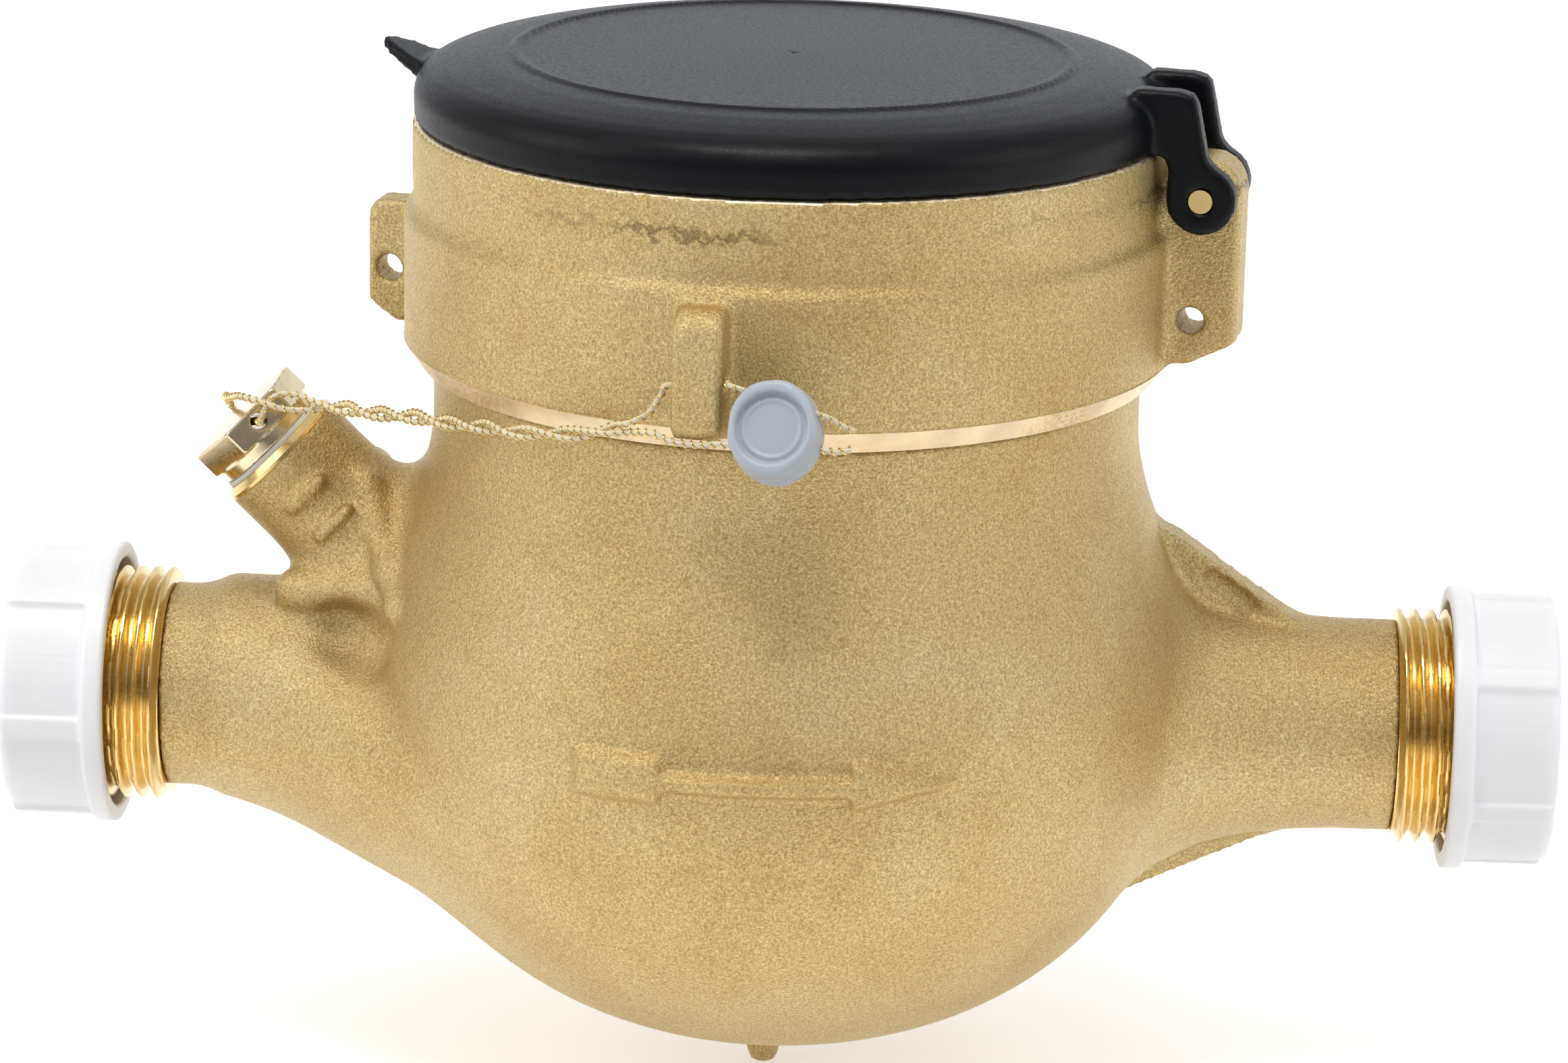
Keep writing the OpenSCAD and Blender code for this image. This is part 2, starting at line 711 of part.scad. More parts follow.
// Regulator plug: hexagon head with a cross hole for the seal wire
module regulator_plug() {
    collar_z = plug_gasket_t;
    head_z = collar_z + plug_collar_t;
    color(bright_brass) at_regulator() difference() {
        union() {
            translate([0, 0, -plug_shank_l]) cylinder(r = regulator_bore_r - run_gap, h = plug_shank_l + head_z);
            translate([0, 0, collar_z]) cylinder(r = plug_collar_r, h = plug_collar_t);
            translate([0, 0, head_z]) rotate(plug_turn)
                cylinder(d = plug_flats / cos(30), h = plug_head_t, $fn = 6);
        }
        translate([0, 0, head_z + plug_head_t / 2]) rotate([90, 0, plug_turn])
            cylinder(d = plug_hole_d, h = 2 * plug_flats, center = true);
    }
}

module plug_gasket() {
    color(rubber_black) at_regulator() ring(regulator_bore_r + 0.1, regulator_r - 0.9, 0, plug_gasket_t);
}

// Regulator screw: trims the bypass between the inlet and the outlet space
module regulator_screw() {
    top = -plug_shank_l - 1;
    color(bright_brass) at_regulator() difference() {
        union() {
            translate([0, 0, top - screw_l]) cylinder(r = regulator_bore_r - run_gap, h = screw_l);
            translate([0, 0, top - screw_l - 3.4]) cylinder(r1 = 1.2, r2 = 3, h = 3.4);
        }
        translate([-4, -0.5, top - 1.2]) cube([8, 1, 2]);
        translate([0, 0, top - 4.6]) ring(regulator_bore_r - 2 * o_ring_r - 0.1, regulator_bore_r + 1, 0, 2 * o_ring_r + 0.1);
    }
}

module regulator_o_ring() {
    groove_mid = -plug_shank_l - 1 - 4.6 + o_ring_r + 0.05;
    color(rubber_black) at_regulator() translate([0, 0, groove_mid])
        rotate_extrude() translate([regulator_bore_r - 0.05 - o_ring_r, 0]) circle(r = o_ring_r - 0.05);
}

// Inlet strainer: a basket with slots, pushed into the inlet port
module inlet_strainer() {
    basket_r = bore_r - 1;
    basket_l = 13;
    basket_wall = 0.8;
    slot_count = 12;
    color(part_white) translate([1, 0, 0]) rotate([0, 90, 0]) difference() {
        union() {
            cylinder(r = bore_r - 0.1, h = 1.6);
            cylinder(r = basket_r, h = basket_l);
        }
        translate([0, 0, -1]) cylinder(r = basket_r - basket_wall, h = basket_l);
        for (i = [0 : slot_count - 1])
            rotate(i * 360 / slot_count) translate([basket_r - 2, -0.8, 3.4]) cube([4, 1.6, basket_l - 5.4]);
        for (i = [0 : 5]) rotate(i * 60) translate([4.4, 0, 0]) cylinder(r = 1.2, h = basket_l + 1);
        cylinder(r = 1.2, h = basket_l + 1);
    }
}

// Chamber: a cup with tangential jets below, a sleeve with outlet gaps above
module slots(count, lean, reach, w, z, h) {
    for (i = [0 : count - 1])
        rotate(i * 360 / count) translate([reach, 0, z]) rotate(lean)
            translate([-slot_l / 2, -w / 2, 0]) cube([slot_l, w, h]);
}

module chamber_gasket() {
    color(rubber_black) at_axis() ring(chamber_r + loose_gap, cup_flange_r - 0.5, shelf_z, gasket_t);
}

module chamber_cup() {
    cup_top = cup_flange_z + cup_flange_t;
    color(part_white) at_axis() difference() {
        union() {
            translate([0, 0, cup_floor_z + 2]) cylinder(r = chamber_r, h = cup_top - cup_floor_z - 2);
            translate([0, 0, cup_floor_z]) cylinder(r1 = chamber_r - cup_taper, r2 = chamber_r, h = 2);
            translate([0, 0, cup_flange_z]) cylinder(r = cup_flange_r, h = cup_flange_t);
        }
        translate([0, 0, cup_floor_z + cup_floor_t]) cylinder(r = cup_in_r, h = cup_top - cup_floor_z);
        slots(jet_count, 55, chamber_r - chamber_wall / 2, jet_w, jet_z, jet_h);
        translate([0, 0, cup_floor_z + 0.6]) cylinder(r = pivot_r + run_gap, h = 4);
    }
}

module pivot_pin() {
    color(steel_grey) at_axis() translate([0, 0, cup_floor_z + 0.6]) cylinder(r = pivot_r, h = pivot_l);
}

module chamber_sleeve() {
    color(part_white) at_axis() difference() {
        translate([0, 0, sleeve_z]) cylinder(r = sleeve_r, h = sleeve_top - sleeve_z);
        translate([0, 0, sleeve_z - 1]) cylinder(r = sleeve_in_r, h = sleeve_floor_z - sleeve_z + 1);
        translate([0, 0, sleeve_floor_z + sleeve_floor_t]) cylinder(r = sleeve_in_r, h = sleeve_top);
        translate([0, 0, sleeve_floor_z - 1]) cylinder(r = bush_r, h = sleeve_floor_t + 2);
        slots(jet_count, -55, sleeve_r - chamber_wall / 2, jet_w, window_gap_z, window_gap_h);
    }
}

module shaft_bush() {
    color(bright_brass) at_axis() difference() {
        union() {
            ring(shaft_r + run_gap, bush_r - 0.02, sleeve_floor_z, sleeve_floor_t);
            ring(shaft_r + run_gap, bush_r + 1.2, sleeve_floor_z + sleeve_floor_t, 0.8);
        }
    }
}

// Impeller: flat vanes on a hub, with a shaft up to the drive magnet
module impeller() {
    hub_bottom = cup_floor_z + cup_floor_t + 1.2;
    color(part_white) at_axis() difference() {
        union() {
            translate([0, 0, hub_bottom]) cylinder(r = hub_r, h = vane_top - hub_bottom);
            translate([0, 0, vane_top - joined]) cylinder(r = shaft_r, h = drive_magnet_z + drive_magnet_t - vane_top);
            translate([0, 0, drive_magnet_z - 1.2]) cylinder(r = hub_r, h = 1.2);
            for (i = [0 : vane_count - 1])
                rotate(i * 360 / vane_count + 11) translate([hub_r - 1, -vane_t / 2, vane_z])
                    cube([vane_r - hub_r + 1, vane_t, vane_top - vane_z - 1]);
        }
        translate([0, 0, hub_bottom - 1]) cylinder(r = pivot_r + run_gap, h = pivot_l);
    }
}

module drive_magnet() {
    color(rubber_black) at_axis() ring(shaft_r + run_gap, magnet_r, drive_magnet_z, drive_magnet_t);
}

// Pressure plate and gasket: close the wet part
module plate_gasket() {
    color(rubber_black) at_axis() ring(neck_bore_r, plate_r - 0.2, seat_z, gasket_t);
}

module pressure_plate() {
    color(bright_brass) at_axis() difference() {
        translate([0, 0, plate_z]) cylinder(r = plate_r, h = plate_t);
        translate([0, 0, can_z - pocket_depth - 0.2]) cylinder(r = pocket_r + loose_gap, h = pocket_depth + 1);
    }
}

// Register: a sealed can with two gear plates, spindles and digit drums
module register_can() {
    color(part_white) at_axis() difference() {
        union() {
            translate([0, 0, can_z]) cylinder(r = can_r, h = can_h);
            translate([0, 0, can_z - pocket_depth]) cylinder(r = pocket_r, h = pocket_depth + joined);
        }
        translate([0, 0, can_z + can_wall]) cylinder(r = can_r - can_wall, h = can_h);
        translate([0, 0, can_z - pocket_depth + pocket_wall]) cylinder(r = pocket_r - pocket_wall, h = can_h);
    }
}

module spindle_holes(z, spots) {
    for (p = spots)
        translate([p[0], p[1], z - joined]) cylinder(r = spindle_r + run_gap, h = gear_plate_t + 2 * joined, $fn = 24);
}

module lower_gear_plate() {
    color(bright_brass) at_axis() difference() {
        translate([0, 0, lower_plate_z]) cylinder(r = gear_plate_r, h = gear_plate_t);
        spindle_holes(lower_plate_z, [[0, 0], star_at, hand_at, worm_at]);
    }
}

module upper_gear_plate() {
    opening_x = bracket_left + 1.2;
    opening_l = bracket_right - opening_x;
    opening_w = 4.8;
    opening_y = drum_y - opening_w / 2;
    color(bright_brass) at_axis() difference() {
        union() {
            difference() {
                translate([0, 0, upper_plate_z]) cylinder(r = gear_plate_r, h = gear_plate_t);
                translate([opening_x, opening_y, upper_plate_z - 1]) cube([opening_l, opening_w, gear_plate_t + 2]);
            }
            for (x = [bracket_left, bracket_right])
                translate([x, drum_y - 1.6, bracket_low])
                    cube([bracket_t, transfer_y - drum_y + 3.2, upper_plate_z - bracket_low + joined]);
        }
        spindle_holes(upper_plate_z, [[0, 0], star_at, hand_at, worm_at]);
        for (y = [drum_y, transfer_y])
            translate([bracket_left - 1, y, drum_z]) rotate([0, 90, 0])
                cylinder(r = drum_axle_r + run_gap, h = bracket_right - bracket_left + bracket_t + 2, $fn = 24);
    }
}

module plate_pillars() {
    foot = lower_plate_z + gear_plate_t;
    color(steel_grey) at_axis() for (a = [90, 210, 330])
        rotate(a) translate([pillar_at, 0, foot]) cylinder(r = pillar_r, h = upper_plate_z - foot);
}

module spindle(from, to) {
    translate([0, 0, from]) cylinder(r = spindle_r, h = to - from, $fn = 24);
}

module magnet_spindle() {
    foot = can_z - pocket_depth + pocket_wall + 0.2;
    color(steel_grey) at_axis() {
        spindle(foot, upper_plate_z + gear_plate_t - 0.2);
        gear(pinion_teeth, layer_b_z, star_turn);
    }
}

module driven_magnet() {
    color(rubber_black) at_axis()
        ring(spindle_r + 0.02, pocket_r - pocket_wall - 0.8, can_z - pocket_depth + pocket_wall + 0.4, driven_magnet_t);
}

module star_spindle() {
    half_tooth = 180 / star_teeth;
    color(steel_grey) at_spot(star_at) {
        spindle(lower_plate_z + 0.1, pointer_z);
        gear(star_teeth, layer_b_z, star_turn + 180 + half_tooth);
        gear(pinion_teeth, layer_a_z, hand_turn);
    }
}

module star_indicator() {
    points = 6;
    color("firebrick") at_spot(star_at) translate([0, 0, pointer_z]) linear_extrude(pointer_t) polygon([
        for (i = [0 : 2 * points - 1]) let (r = i % 2 == 0 ? 3.1 : 1.5, a = i * 180 / points) r * [cos(a), sin(a)]
    ]);
}

module worm_spindle() {
    half_tooth = 180 / wheel_teeth;
    mesh_turn = (worm_turn - hand_turn) * pinion_teeth / wheel_teeth;
    color(steel_grey) at_spot(worm_at) {
        spindle(lower_plate_z + 0.1, dial_z - 0.1);
        gear(wheel_teeth, layer_a_z, worm_turn + 180 + half_tooth + mesh_turn);
        translate([0, 0, layer_b_z + 0.4]) cylinder(r = worm_r, h = upper_plate_z - layer_b_z - 0.8, $fn = 24);
    }
}

module hand_spindle() {
    half_tooth = 180 / wheel_teeth;
    color(steel_grey) at_spot(hand_at) {
        spindle(lower_plate_z + 0.1, pointer_z);
        gear(wheel_teeth, layer_a_z, hand_turn + 180 + half_tooth);
    }
}

module litre_hand() {
    color("firebrick") at_spot(hand_at) translate([0, 0, pointer_z]) union() {
        cylinder(r = 1.5, h = pointer_t, $fn = 24);
        linear_extrude(pointer_t) polygon([[-0.8, 0], [-0.55, 5.2], [0, 6.6], [0.55, 5.2], [0.8, 0], [0.5, -2.6], [-0.5, -2.6]]);
    }
}

module drum_axle() {
    color(steel_grey) at_axis() translate([bracket_left, drum_y, drum_z]) rotate([0, 90, 0])
        cylinder(r = drum_axle_r, h = bracket_right + 1.2 - bracket_left, $fn = 24);
}

// Digit drum, counted from the left. The last one carries the worm wheel.
module digit_drum(i) {
    x = last_drum_x - (drum_count - i) * drum_pitch - drum_w / 2;
    last = i == drum_count;
    color(last ? "firebrick" : [0.1, 0.1, 0.1]) at_axis() translate([x, drum_y, drum_z]) rotate([0, 90, 0])
        difference() {
            union() {
                cylinder(r = drum_r, h = drum_w);
                if (last) translate([0, 0, drum_w]) cylinder(r = 1.4, h = worm_at[0] + 0.8 - x - drum_w);
                if (last) translate([0, 0, worm_at[0] - 0.8 - x]) linear_extrude(1.6) polygon([
                    for (k = [0 : 2 * worm_wheel_teeth - 1])
                        let (r = worm_wheel_r - (k % 2) * 0.6, a = k * 180 / worm_wheel_teeth) r * [cos(a), sin(a)]
                ]);
            }
            translate([0, 0, -1]) cylinder(r = drum_axle_r + run_gap, h = 2 * drum_pitch + drum_w + 4, $fn = 24);
        }
}

module drum_1() {
    digit_drum(1);
}

module drum_2() {
    digit_drum(2);
}

module drum_3() {
    digit_drum(3);
}

module drum_4() {
    digit_drum(4);
}

module drum_5() {
    digit_drum(5);
}

module transfer_axle() {
    color(steel_grey) at_axis() translate([bracket_left, transfer_y, drum_z]) rotate([0, 90, 0])
        cylinder(r = drum_axle_r, h = bracket_right + 1.2 - bracket_left, $fn = 24);
}

module transfer_pinions() {
    color(part_white) at_axis() for (i = [1 : drum_count - 1])
        translate([last_drum_x - (drum_count - i) * drum_pitch + drum_pitch / 2 - 0.8, transfer_y, drum_z])
            rotate([0, 90, 0]) ring(drum_axle_r + run_gap, transfer_r, 0, 1.6);
}

module dial_plate() {
    slot_x = last_drum_x - (drum_count - 0.5) * drum_pitch + 0.2;
    slot_l = drum_count * drum_pitch - 0.4;
    slot_w = 3.4;
    color(cap_white) at_axis() difference() {
        translate([0, 0, dial_z]) cylinder(r = dial_r, h = dial_t);
        translate([slot_x, drum_y - slot_w / 2, dial_z - 1]) cube([slot_l, slot_w, dial_t + 2]);
        for (p = [star_at, hand_at])
            translate([p[0], p[1], dial_z - 1]) cylinder(r = spindle_r + 0.4, h = dial_t + 2, $fn = 24);
    }
}

module dial_ring() {
    color(part_white) at_axis() ring(dial_ring_in, dial_r, dial_z + dial_t, can_top - dial_z - dial_t);
}

module window_gasket() {
    color(rubber_black) at_axis() ring(dial_ring_in + 0.6, can_r, can_top, thin_gasket_t);
}

module register_window() {
    color([0.8, 0.9, 0.95, 0.4]) at_axis() translate([0, 0, window_z]) cylinder(r = can_r, h = window_t);
}

module slip_ring() {
    color(part_white) at_axis() ring(lip_r + 0.6, can_r, window_top, slip_ring_t);
}

// Seal and its wire: through the plug, along the neck, through the lug
module seal_disc() {
    color("gainsboro") at_axis() difference() {
        translate(seal_at) rotate([90 - seal_lean, 0, seal_turn]) difference() {
            translate([0, 0, -seal_t / 2]) cylinder(d = seal_d, h = seal_t);
            translate([0, 0, seal_t / 2 - seal_dish]) cylinder(d = seal_face_d, h = seal_t);
        }
        for (ends = [seal_upper, seal_lower]) straight_hole(ends[0], ends[1], seal_wire_r);
    }
}

module seal_wire_loop() {
    color(bright_brass) at_axis() wire(loop_route, strand_r);
}

module seal_wire_pair() {
    color(bright_brass) at_axis() wire(pair_route, pair_r);
}

module seal_wire_ends() {
    color(bright_brass) at_axis() for (route = end_routes) wire(route, strand_r);
}

meter_body();
head_ring();
lid();
hinge_pin();
inlet_cap();
outlet_cap();
regulator_plug();
plug_gasket();
regulator_screw();
regulator_o_ring();
inlet_strainer();
chamber_gasket();
chamber_cup();
chamber_sleeve();
pivot_pin();
shaft_bush();
impeller();
drive_magnet();
plate_gasket();
pressure_plate();
register_can();
lower_gear_plate();
upper_gear_plate();
plate_pillars();
magnet_spindle();
driven_magnet();
star_spindle();
star_indicator();
worm_spindle();
hand_spindle();
litre_hand();
drum_axle();
drum_1();
drum_2();
drum_3();
drum_4();
drum_5();
transfer_axle();
transfer_pinions();
dial_plate();
dial_ring();
window_gasket();
register_window();
slip_ring();
seal_disc();
seal_wire_loop();
seal_wire_pair();
seal_wire_ends();
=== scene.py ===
import json
import math
import bmesh
import bpy
import numpy as np
import openvdb
from mathutils import Matrix, Vector


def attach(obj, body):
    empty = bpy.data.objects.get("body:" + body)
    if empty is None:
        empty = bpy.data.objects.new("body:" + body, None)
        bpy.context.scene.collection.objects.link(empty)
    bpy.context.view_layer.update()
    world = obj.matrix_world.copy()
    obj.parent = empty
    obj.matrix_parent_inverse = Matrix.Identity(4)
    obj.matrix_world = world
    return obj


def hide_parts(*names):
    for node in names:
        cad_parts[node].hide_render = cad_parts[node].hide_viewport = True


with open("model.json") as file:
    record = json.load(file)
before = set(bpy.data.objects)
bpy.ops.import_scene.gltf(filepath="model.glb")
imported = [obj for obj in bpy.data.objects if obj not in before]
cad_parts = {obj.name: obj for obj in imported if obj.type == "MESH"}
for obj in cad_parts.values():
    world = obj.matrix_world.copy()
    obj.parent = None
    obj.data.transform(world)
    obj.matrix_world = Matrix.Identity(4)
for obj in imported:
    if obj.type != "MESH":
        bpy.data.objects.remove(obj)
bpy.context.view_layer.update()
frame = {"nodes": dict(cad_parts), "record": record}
nodes = frame["nodes"]
scene = bpy.context.scene
scene.view_settings.view_transform = "Standard"

# Lengths are millimetres, measured from the meter's own upright axis at the height of
# the ports. That axis stands AXIS_X from the frame's origin. to_frame() and make()
# turn such points into the frame's metres.
MM = 0.001
AXIS_X = 85.0
FLOOR_Z = -43.4

# Ports, with a 55 degree thread of 14 turns to the inch
SHOULDER_X = 69.2
BORE_R = 9.2
INLET_R, OUTLET_R = 11.5, 11.9
THREAD_R, THREAD_L = 13.22, 15.8
THREAD_PITCH, THREAD_DEPTH = 1.814, 1.162

# Body
BELLY_R, BELLY_Z = 46.5, 6.0
BOWL_DEPTH, BOWL_POWER = 42.5, 2.25
BOWL_BOTTOM = BELLY_Z - BOWL_DEPTH
NECK_R, NECK_Z = 39.3, 35.0
WALL = 3.6
WEB_T = 5.0
NUB_X, NUB_H = -1.1, 6.8
BODY_THREAD_R, BODY_TOP = 38.6, 54.0
SEAT_Z, PLATE_BORE_R, NECK_BORE_R = 42.0, 36.3, 34.8
SHELF_Z, UNDER_Z, SHELF_HOLE_R = -9.5, -13.0, 27.3
CHANNEL_AT, CHANNEL_LEAN = (-60, 0, -0.9), math.radians(31.6)
CHANNEL_R, CHANNEL_TUBE_R = 6, 8.5
CHANNEL_START, CHANNEL_END = -6, 34

# Flow arrow, as points round its middle
ARROW_Z, ARROW_H = 5.8, 1.4
ARROW = [
    (-20.3, -2.4), (-10.8, -2.3), (-10.4, -0.9), (9.6, -0.8), (9.6, -2.3), (16.4, -0.9), (20.5, -0.2),
    (15.6, 1.2), (9.8, 2.9), (9.6, 0.9), (-10.4, 0.9), (-10.8, 2.4), (-20.3, 2.3), (-19.6, 0),
]

# Regulator neck: its rim's centre, its axis and a direction across it
REG_X, REG_Z, REG_R, REG_BORE_R = 57.5, 28.6, 7.7, 5
REG_LEAN = math.radians(45.5)
REG_AT = (-REG_X, 0.0, REG_Z)
REG_OUT = (-math.sin(REG_LEAN), 0.0, math.cos(REG_LEAN))
REG_SIDE = (math.cos(REG_LEAN), 0.0, math.sin(REG_LEAN))

# Head ring and lid, turned together on the body
HEAD_TURN = math.radians(-10)
RING_Z, RING_TOP = 40.8, 67.6
RING_R, RING_UPPER_R = 42.6, 41.9
RING_THREAD_R, RING_CHAMBER_R, RING_LIP_R = 38.9, 36.6, 32.5
EAR_ROOT_R = 40.1
HINGE_X, HINGE_Z = 46.4, 62.9
LUG_TURN, LUG_HOLE_Z = math.radians(-89.3), 48.8
LID_R, LID_Z, LID_TOP = 41.5, 67.8, 75.2
LID_WALL = 2
CHEEK_GAP, CHEEK_T, CHEEK_R = 3.8, 3.1, 3.75

# Caps
CAP_END, CAP_MOUTH = -86.9, -74.9
CAP_R, CAP_FLANGE_R, CAP_BORE_R = 14.8, 16.0, 14.1

# Regulator plug, with heights along the neck's axis
PLUG_HALF_FLATS = 6.3
PLUG_LOW, PLUG_TOP = 2.0, 5.2
PLUG_MID = (PLUG_LOW + PLUG_TOP) / 2
PLUG_HOLE_R = 0.95

# Seal
SEAL_AT = (0.8, -47.9, 44.9)
SEAL_R, SEAL_HALF_T, SEAL_TALL = 4.72, 2.3, 1.07

# Register
DIAL_Z = 58.52
HAND_AT = (-6.487, -10.304)
DRUM_Y, DRUM_Z, DRUM_R = 8.997, 54.6, 3.2
DRUM_COUNT, FIRST_DRUM_X, DRUM_PITCH = 5, -10.69, 4.6


def to_frame(p):
    return Vector(((p[0] + AXIS_X) * MM, p[1] * MM, p[2] * MM))


def circle(count):
    """Even angles round a full turn."""
    return np.linspace(0, 2 * math.pi, count, endpoint=False)


# Camera, fitted to the photograph
PHOTO_WIDTH_PX = 2324
FOCAL_PX = 7825.36
SENSOR_WIDTH = 36.0
CAMERA_EYE = Vector((23.284, -569.801, 186.505))
CAMERA_AIM = Vector((0.04, 0.0, 20.32))
CAMERA_ROLL = math.radians(1.25)


def camera():
    back = (CAMERA_EYE - CAMERA_AIM).normalized()
    level = Vector((0, 0, 1)).cross(back).normalized()
    steep = back.cross(level)
    right = level * math.cos(CAMERA_ROLL) + steep * math.sin(CAMERA_ROLL)
    up = steep * math.cos(CAMERA_ROLL) - level * math.sin(CAMERA_ROLL)
    data = bpy.data.cameras.new("camera")
    data.sensor_fit = "HORIZONTAL"
    data.sensor_width = SENSOR_WIDTH
    data.lens = FOCAL_PX / PHOTO_WIDTH_PX * SENSOR_WIDTH
    data.clip_start, data.clip_end = 0.01, 50
    cam = bpy.data.objects.new("camera", data)
    scene.collection.objects.link(cam)
    place = Matrix((right, up, back)).transposed().to_4x4()
    place.translation = to_frame(CAMERA_EYE)
    cam.matrix_world = place
    scene.camera = cam


camera()


# Shapes are distance fields, negative inside: one field per piece, blended where the
# casting is filleted, and meshed once.
class Field:
    FINE = 0.1

    def __init__(self, low, high, step):
        self.step = step
        self.low = np.array([math.floor(a / step) * step for a in low])
        count = [int(math.ceil((b - a) / step)) + 1 for a, b in zip(self.low, high)]
        axes = [(a + np.arange(n) * step).astype(np.float32) for a, n in zip(self.low, count)]
        self.x = axes[0][:, None, None]
        self.y = axes[1][None, :, None]
        self.z = axes[2][None, None, :]
        self.shape = tuple(count)

    def revolve(self, points, x0=0.0):
        """Outline of (radius, height) points turned about an upright axis."""
        r = np.sqrt((self.x - x0) ** 2 + self.y**2)[:, :, 0]
        return self._read(self._table(points, 0.0, r.max(), self.z[0, 0, :]), 0.0, r)

    def revolve_x(self, points):
        """Outline of (radius, x) points turned about the ports' axis."""
        r = np.sqrt(self.y**2 + self.z**2)[0]
        table = self._table(points, 0.0, r.max(), self.x[:, 0, 0])
        return np.moveaxis(self._read(table, 0.0, r), 2, 0)

    def slab_xz(self, points, y_mid, thick, turn=0.0):
        """Plate with an outline of (x, z) points, turned about the upright axis."""
        if turn == 0.0:
            d = polygon_distance(points, self.x[:, 0, :], self.z[0])[:, None, :]
            return extrude(d, np.abs(self.y - y_mid) - thick / 2)
        u, v = self.turned(turn)
        low = float(u.min()) - 2 * self.FINE
        table = self._table(points, low, float(u.max()), self.z[0, 0, :])
        return extrude(self._read(table, low, u[:, :, 0]), np.abs(v - y_mid) - thick / 2)

    def _table(self, points, low, high, along):
        """Distances to an outline, finely spaced in its first coordinate."""
        count = int((high - low) / self.FINE) + 3
        across = (low + np.arange(count) * self.FINE).astype(np.float32)
        return polygon_distance(points, across[:, None], along[None, :])

    def _read(self, table, low, across):
        at = (across - low) / self.FINE
        i = at.astype(np.int32)
        part = (at - i)[..., None].astype(np.float32)
        return table[i] * (1 - part) + table[i + 1] * part

    def turned(self, turn):
        """Coordinates along and across a direction turned about the upright axis."""
        c, s = math.cos(turn), math.sin(turn)
        return self.x * c + self.y * s, self.y * c - self.x * s

    def local(self, at, x_axis, z_axis):
        """Coordinates in a frame that stands at a point, with two of its axes given."""
        xa, za = np.array(x_axis, float), np.array(z_axis, float)
        ya = np.cross(za, xa)
        d = (self.x - at[0], self.y - at[1], self.z - at[2])
        return [(d[0] * a[0] + d[1] * a[1] + d[2] * a[2]).astype(np.float32) for a in (xa, ya, za)]

    def capsule(self, a, b, r):
        """Round bar from one point to another."""
        a, b = np.array(a, float), np.array(b, float)
        e = b - a
        w = (self.x - a[0], self.y - a[1], self.z - a[2])
        t = np.clip((w[0] * e[0] + w[1] * e[1] + w[2] * e[2]) / (e @ e), 0, 1)
        return np.sqrt(sum((wi - ei * t) ** 2 for wi, ei in zip(w, e))).astype(np.float32) - r

    def hull(self, points):
        """Convex hull of points."""
        bm = bmesh.new()
        for p in points:
            bm.verts.new(p)
        bmesh.ops.convex_hull(bm, input=bm.verts)
        bmesh.ops.delete(bm, geom=[v for v in bm.verts if not v.link_faces], context="VERTS")
        bmesh.ops.triangulate(bm, faces=bm.faces)
        bm.verts.index_update()
        pts = np.array([v.co for v in bm.verts], np.float32)
        tris = np.array([[v.index for v in f.verts] for f in bm.faces], np.uint32)
        bm.free()
        grid = openvdb.FloatGrid.createLevelSetFromPolygons(
            points=pts, triangles=tris, transform=openvdb.createLinearTransform(self.step), halfWidth=16
        )
        out = np.zeros(self.shape, np.float32)
        grid.copyToArray(out, ijk=tuple(int(round(a / self.step)) for a in self.low))
        return out

    def mesh(self, field):
        """Points, quads and smooth normals of the field's surface."""
        grid = openvdb.FloatGrid(4.0)
        grid.copyFromArray(np.array(np.broadcast_to(field, self.shape), dtype=np.float32, order="C"))
        pts, quads = grid.convertToQuads(isovalue=0.0)
        pts = (pts * self.step + self.low).astype(np.float64)
        quads = outward(pts, quads.astype(np.int64))
        reach = np.eye(3) * self.step * 0.6
        slope = [self.sample(field, pts + e) - self.sample(field, pts - e) for e in reach]
        normals = np.stack(slope, axis=1)
        normals /= np.maximum(np.linalg.norm(normals, axis=1), 1e-9)[:, None]
        return pts, quads, normals

    def sample(self, field, pts):
        """The field's value at any points, by linear steps between its cells."""
        field = np.broadcast_to(field, self.shape)
        q = np.clip((pts - self.low) / self.step, 0, np.array(self.shape) - 1.001)
        i = q.astype(np.int64)
        w = q - i
        total = 0.0
        for dx in (0, 1):
            for dy in (0, 1):
                for dz in (0, 1):
                    part = (w[:, 0] if dx else 1 - w[:, 0]) * (w[:, 1] if dy else 1 - w[:, 1])
                    part = part * (w[:, 2] if dz else 1 - w[:, 2])
                    total = total + part * field[i[:, 0] + dx, i[:, 1] + dy, i[:, 2] + dz]
        return total


def polygon_distance(points, u, v):
    p = np.asarray(points, np.float64)
    shape = np.broadcast(u, v).shape
    best = np.full(shape, 1e9, np.float32)
    inside = np.zeros(shape, bool)
    for a, b in zip(p, np.roll(p, -1, axis=0)):
        ex, ey = b - a
        if ex * ex + ey * ey < 1e-12:
            continue
        wx, wy = u - a[0], v - a[1]
        t = np.clip((wx * ex + wy * ey) / (ex * ex + ey * ey), 0, 1)
        best = np.minimum(best, ((wx - ex * t) ** 2 + (wy - ey * t) ** 2).astype(np.float32))
        if ey != 0:
            inside ^= ((a[1] <= v) != (b[1] <= v)) & (u < a[0] + ex * (v - a[1]) / ey)
    return np.where(inside, -1, 1).astype(np.float32) * np.sqrt(best)


def extrude(d2, d1):
    outside = np.sqrt(np.maximum(d2, 0) ** 2 + np.maximum(d1, 0) ** 2)
    return (np.minimum(np.maximum(d2, d1), 0) + outside).astype(np.float32)


def join(a, b, k):
    """Both shapes in one, with a fillet of about k."""
    h = np.clip(0.5 + 0.5 * (b - a) / k, 0, 1)
    return (b + (a - b) * h - k * h * (1 - h)).astype(np.float32)


def cut(a, b, k=0.0):
    """The first shape less the second, with an edge rounded by about k."""
    return np.maximum(a, -b) if k == 0 else -join(-a, b, k)


def smooth(t):
    return t * t * (3 - 2 * t)


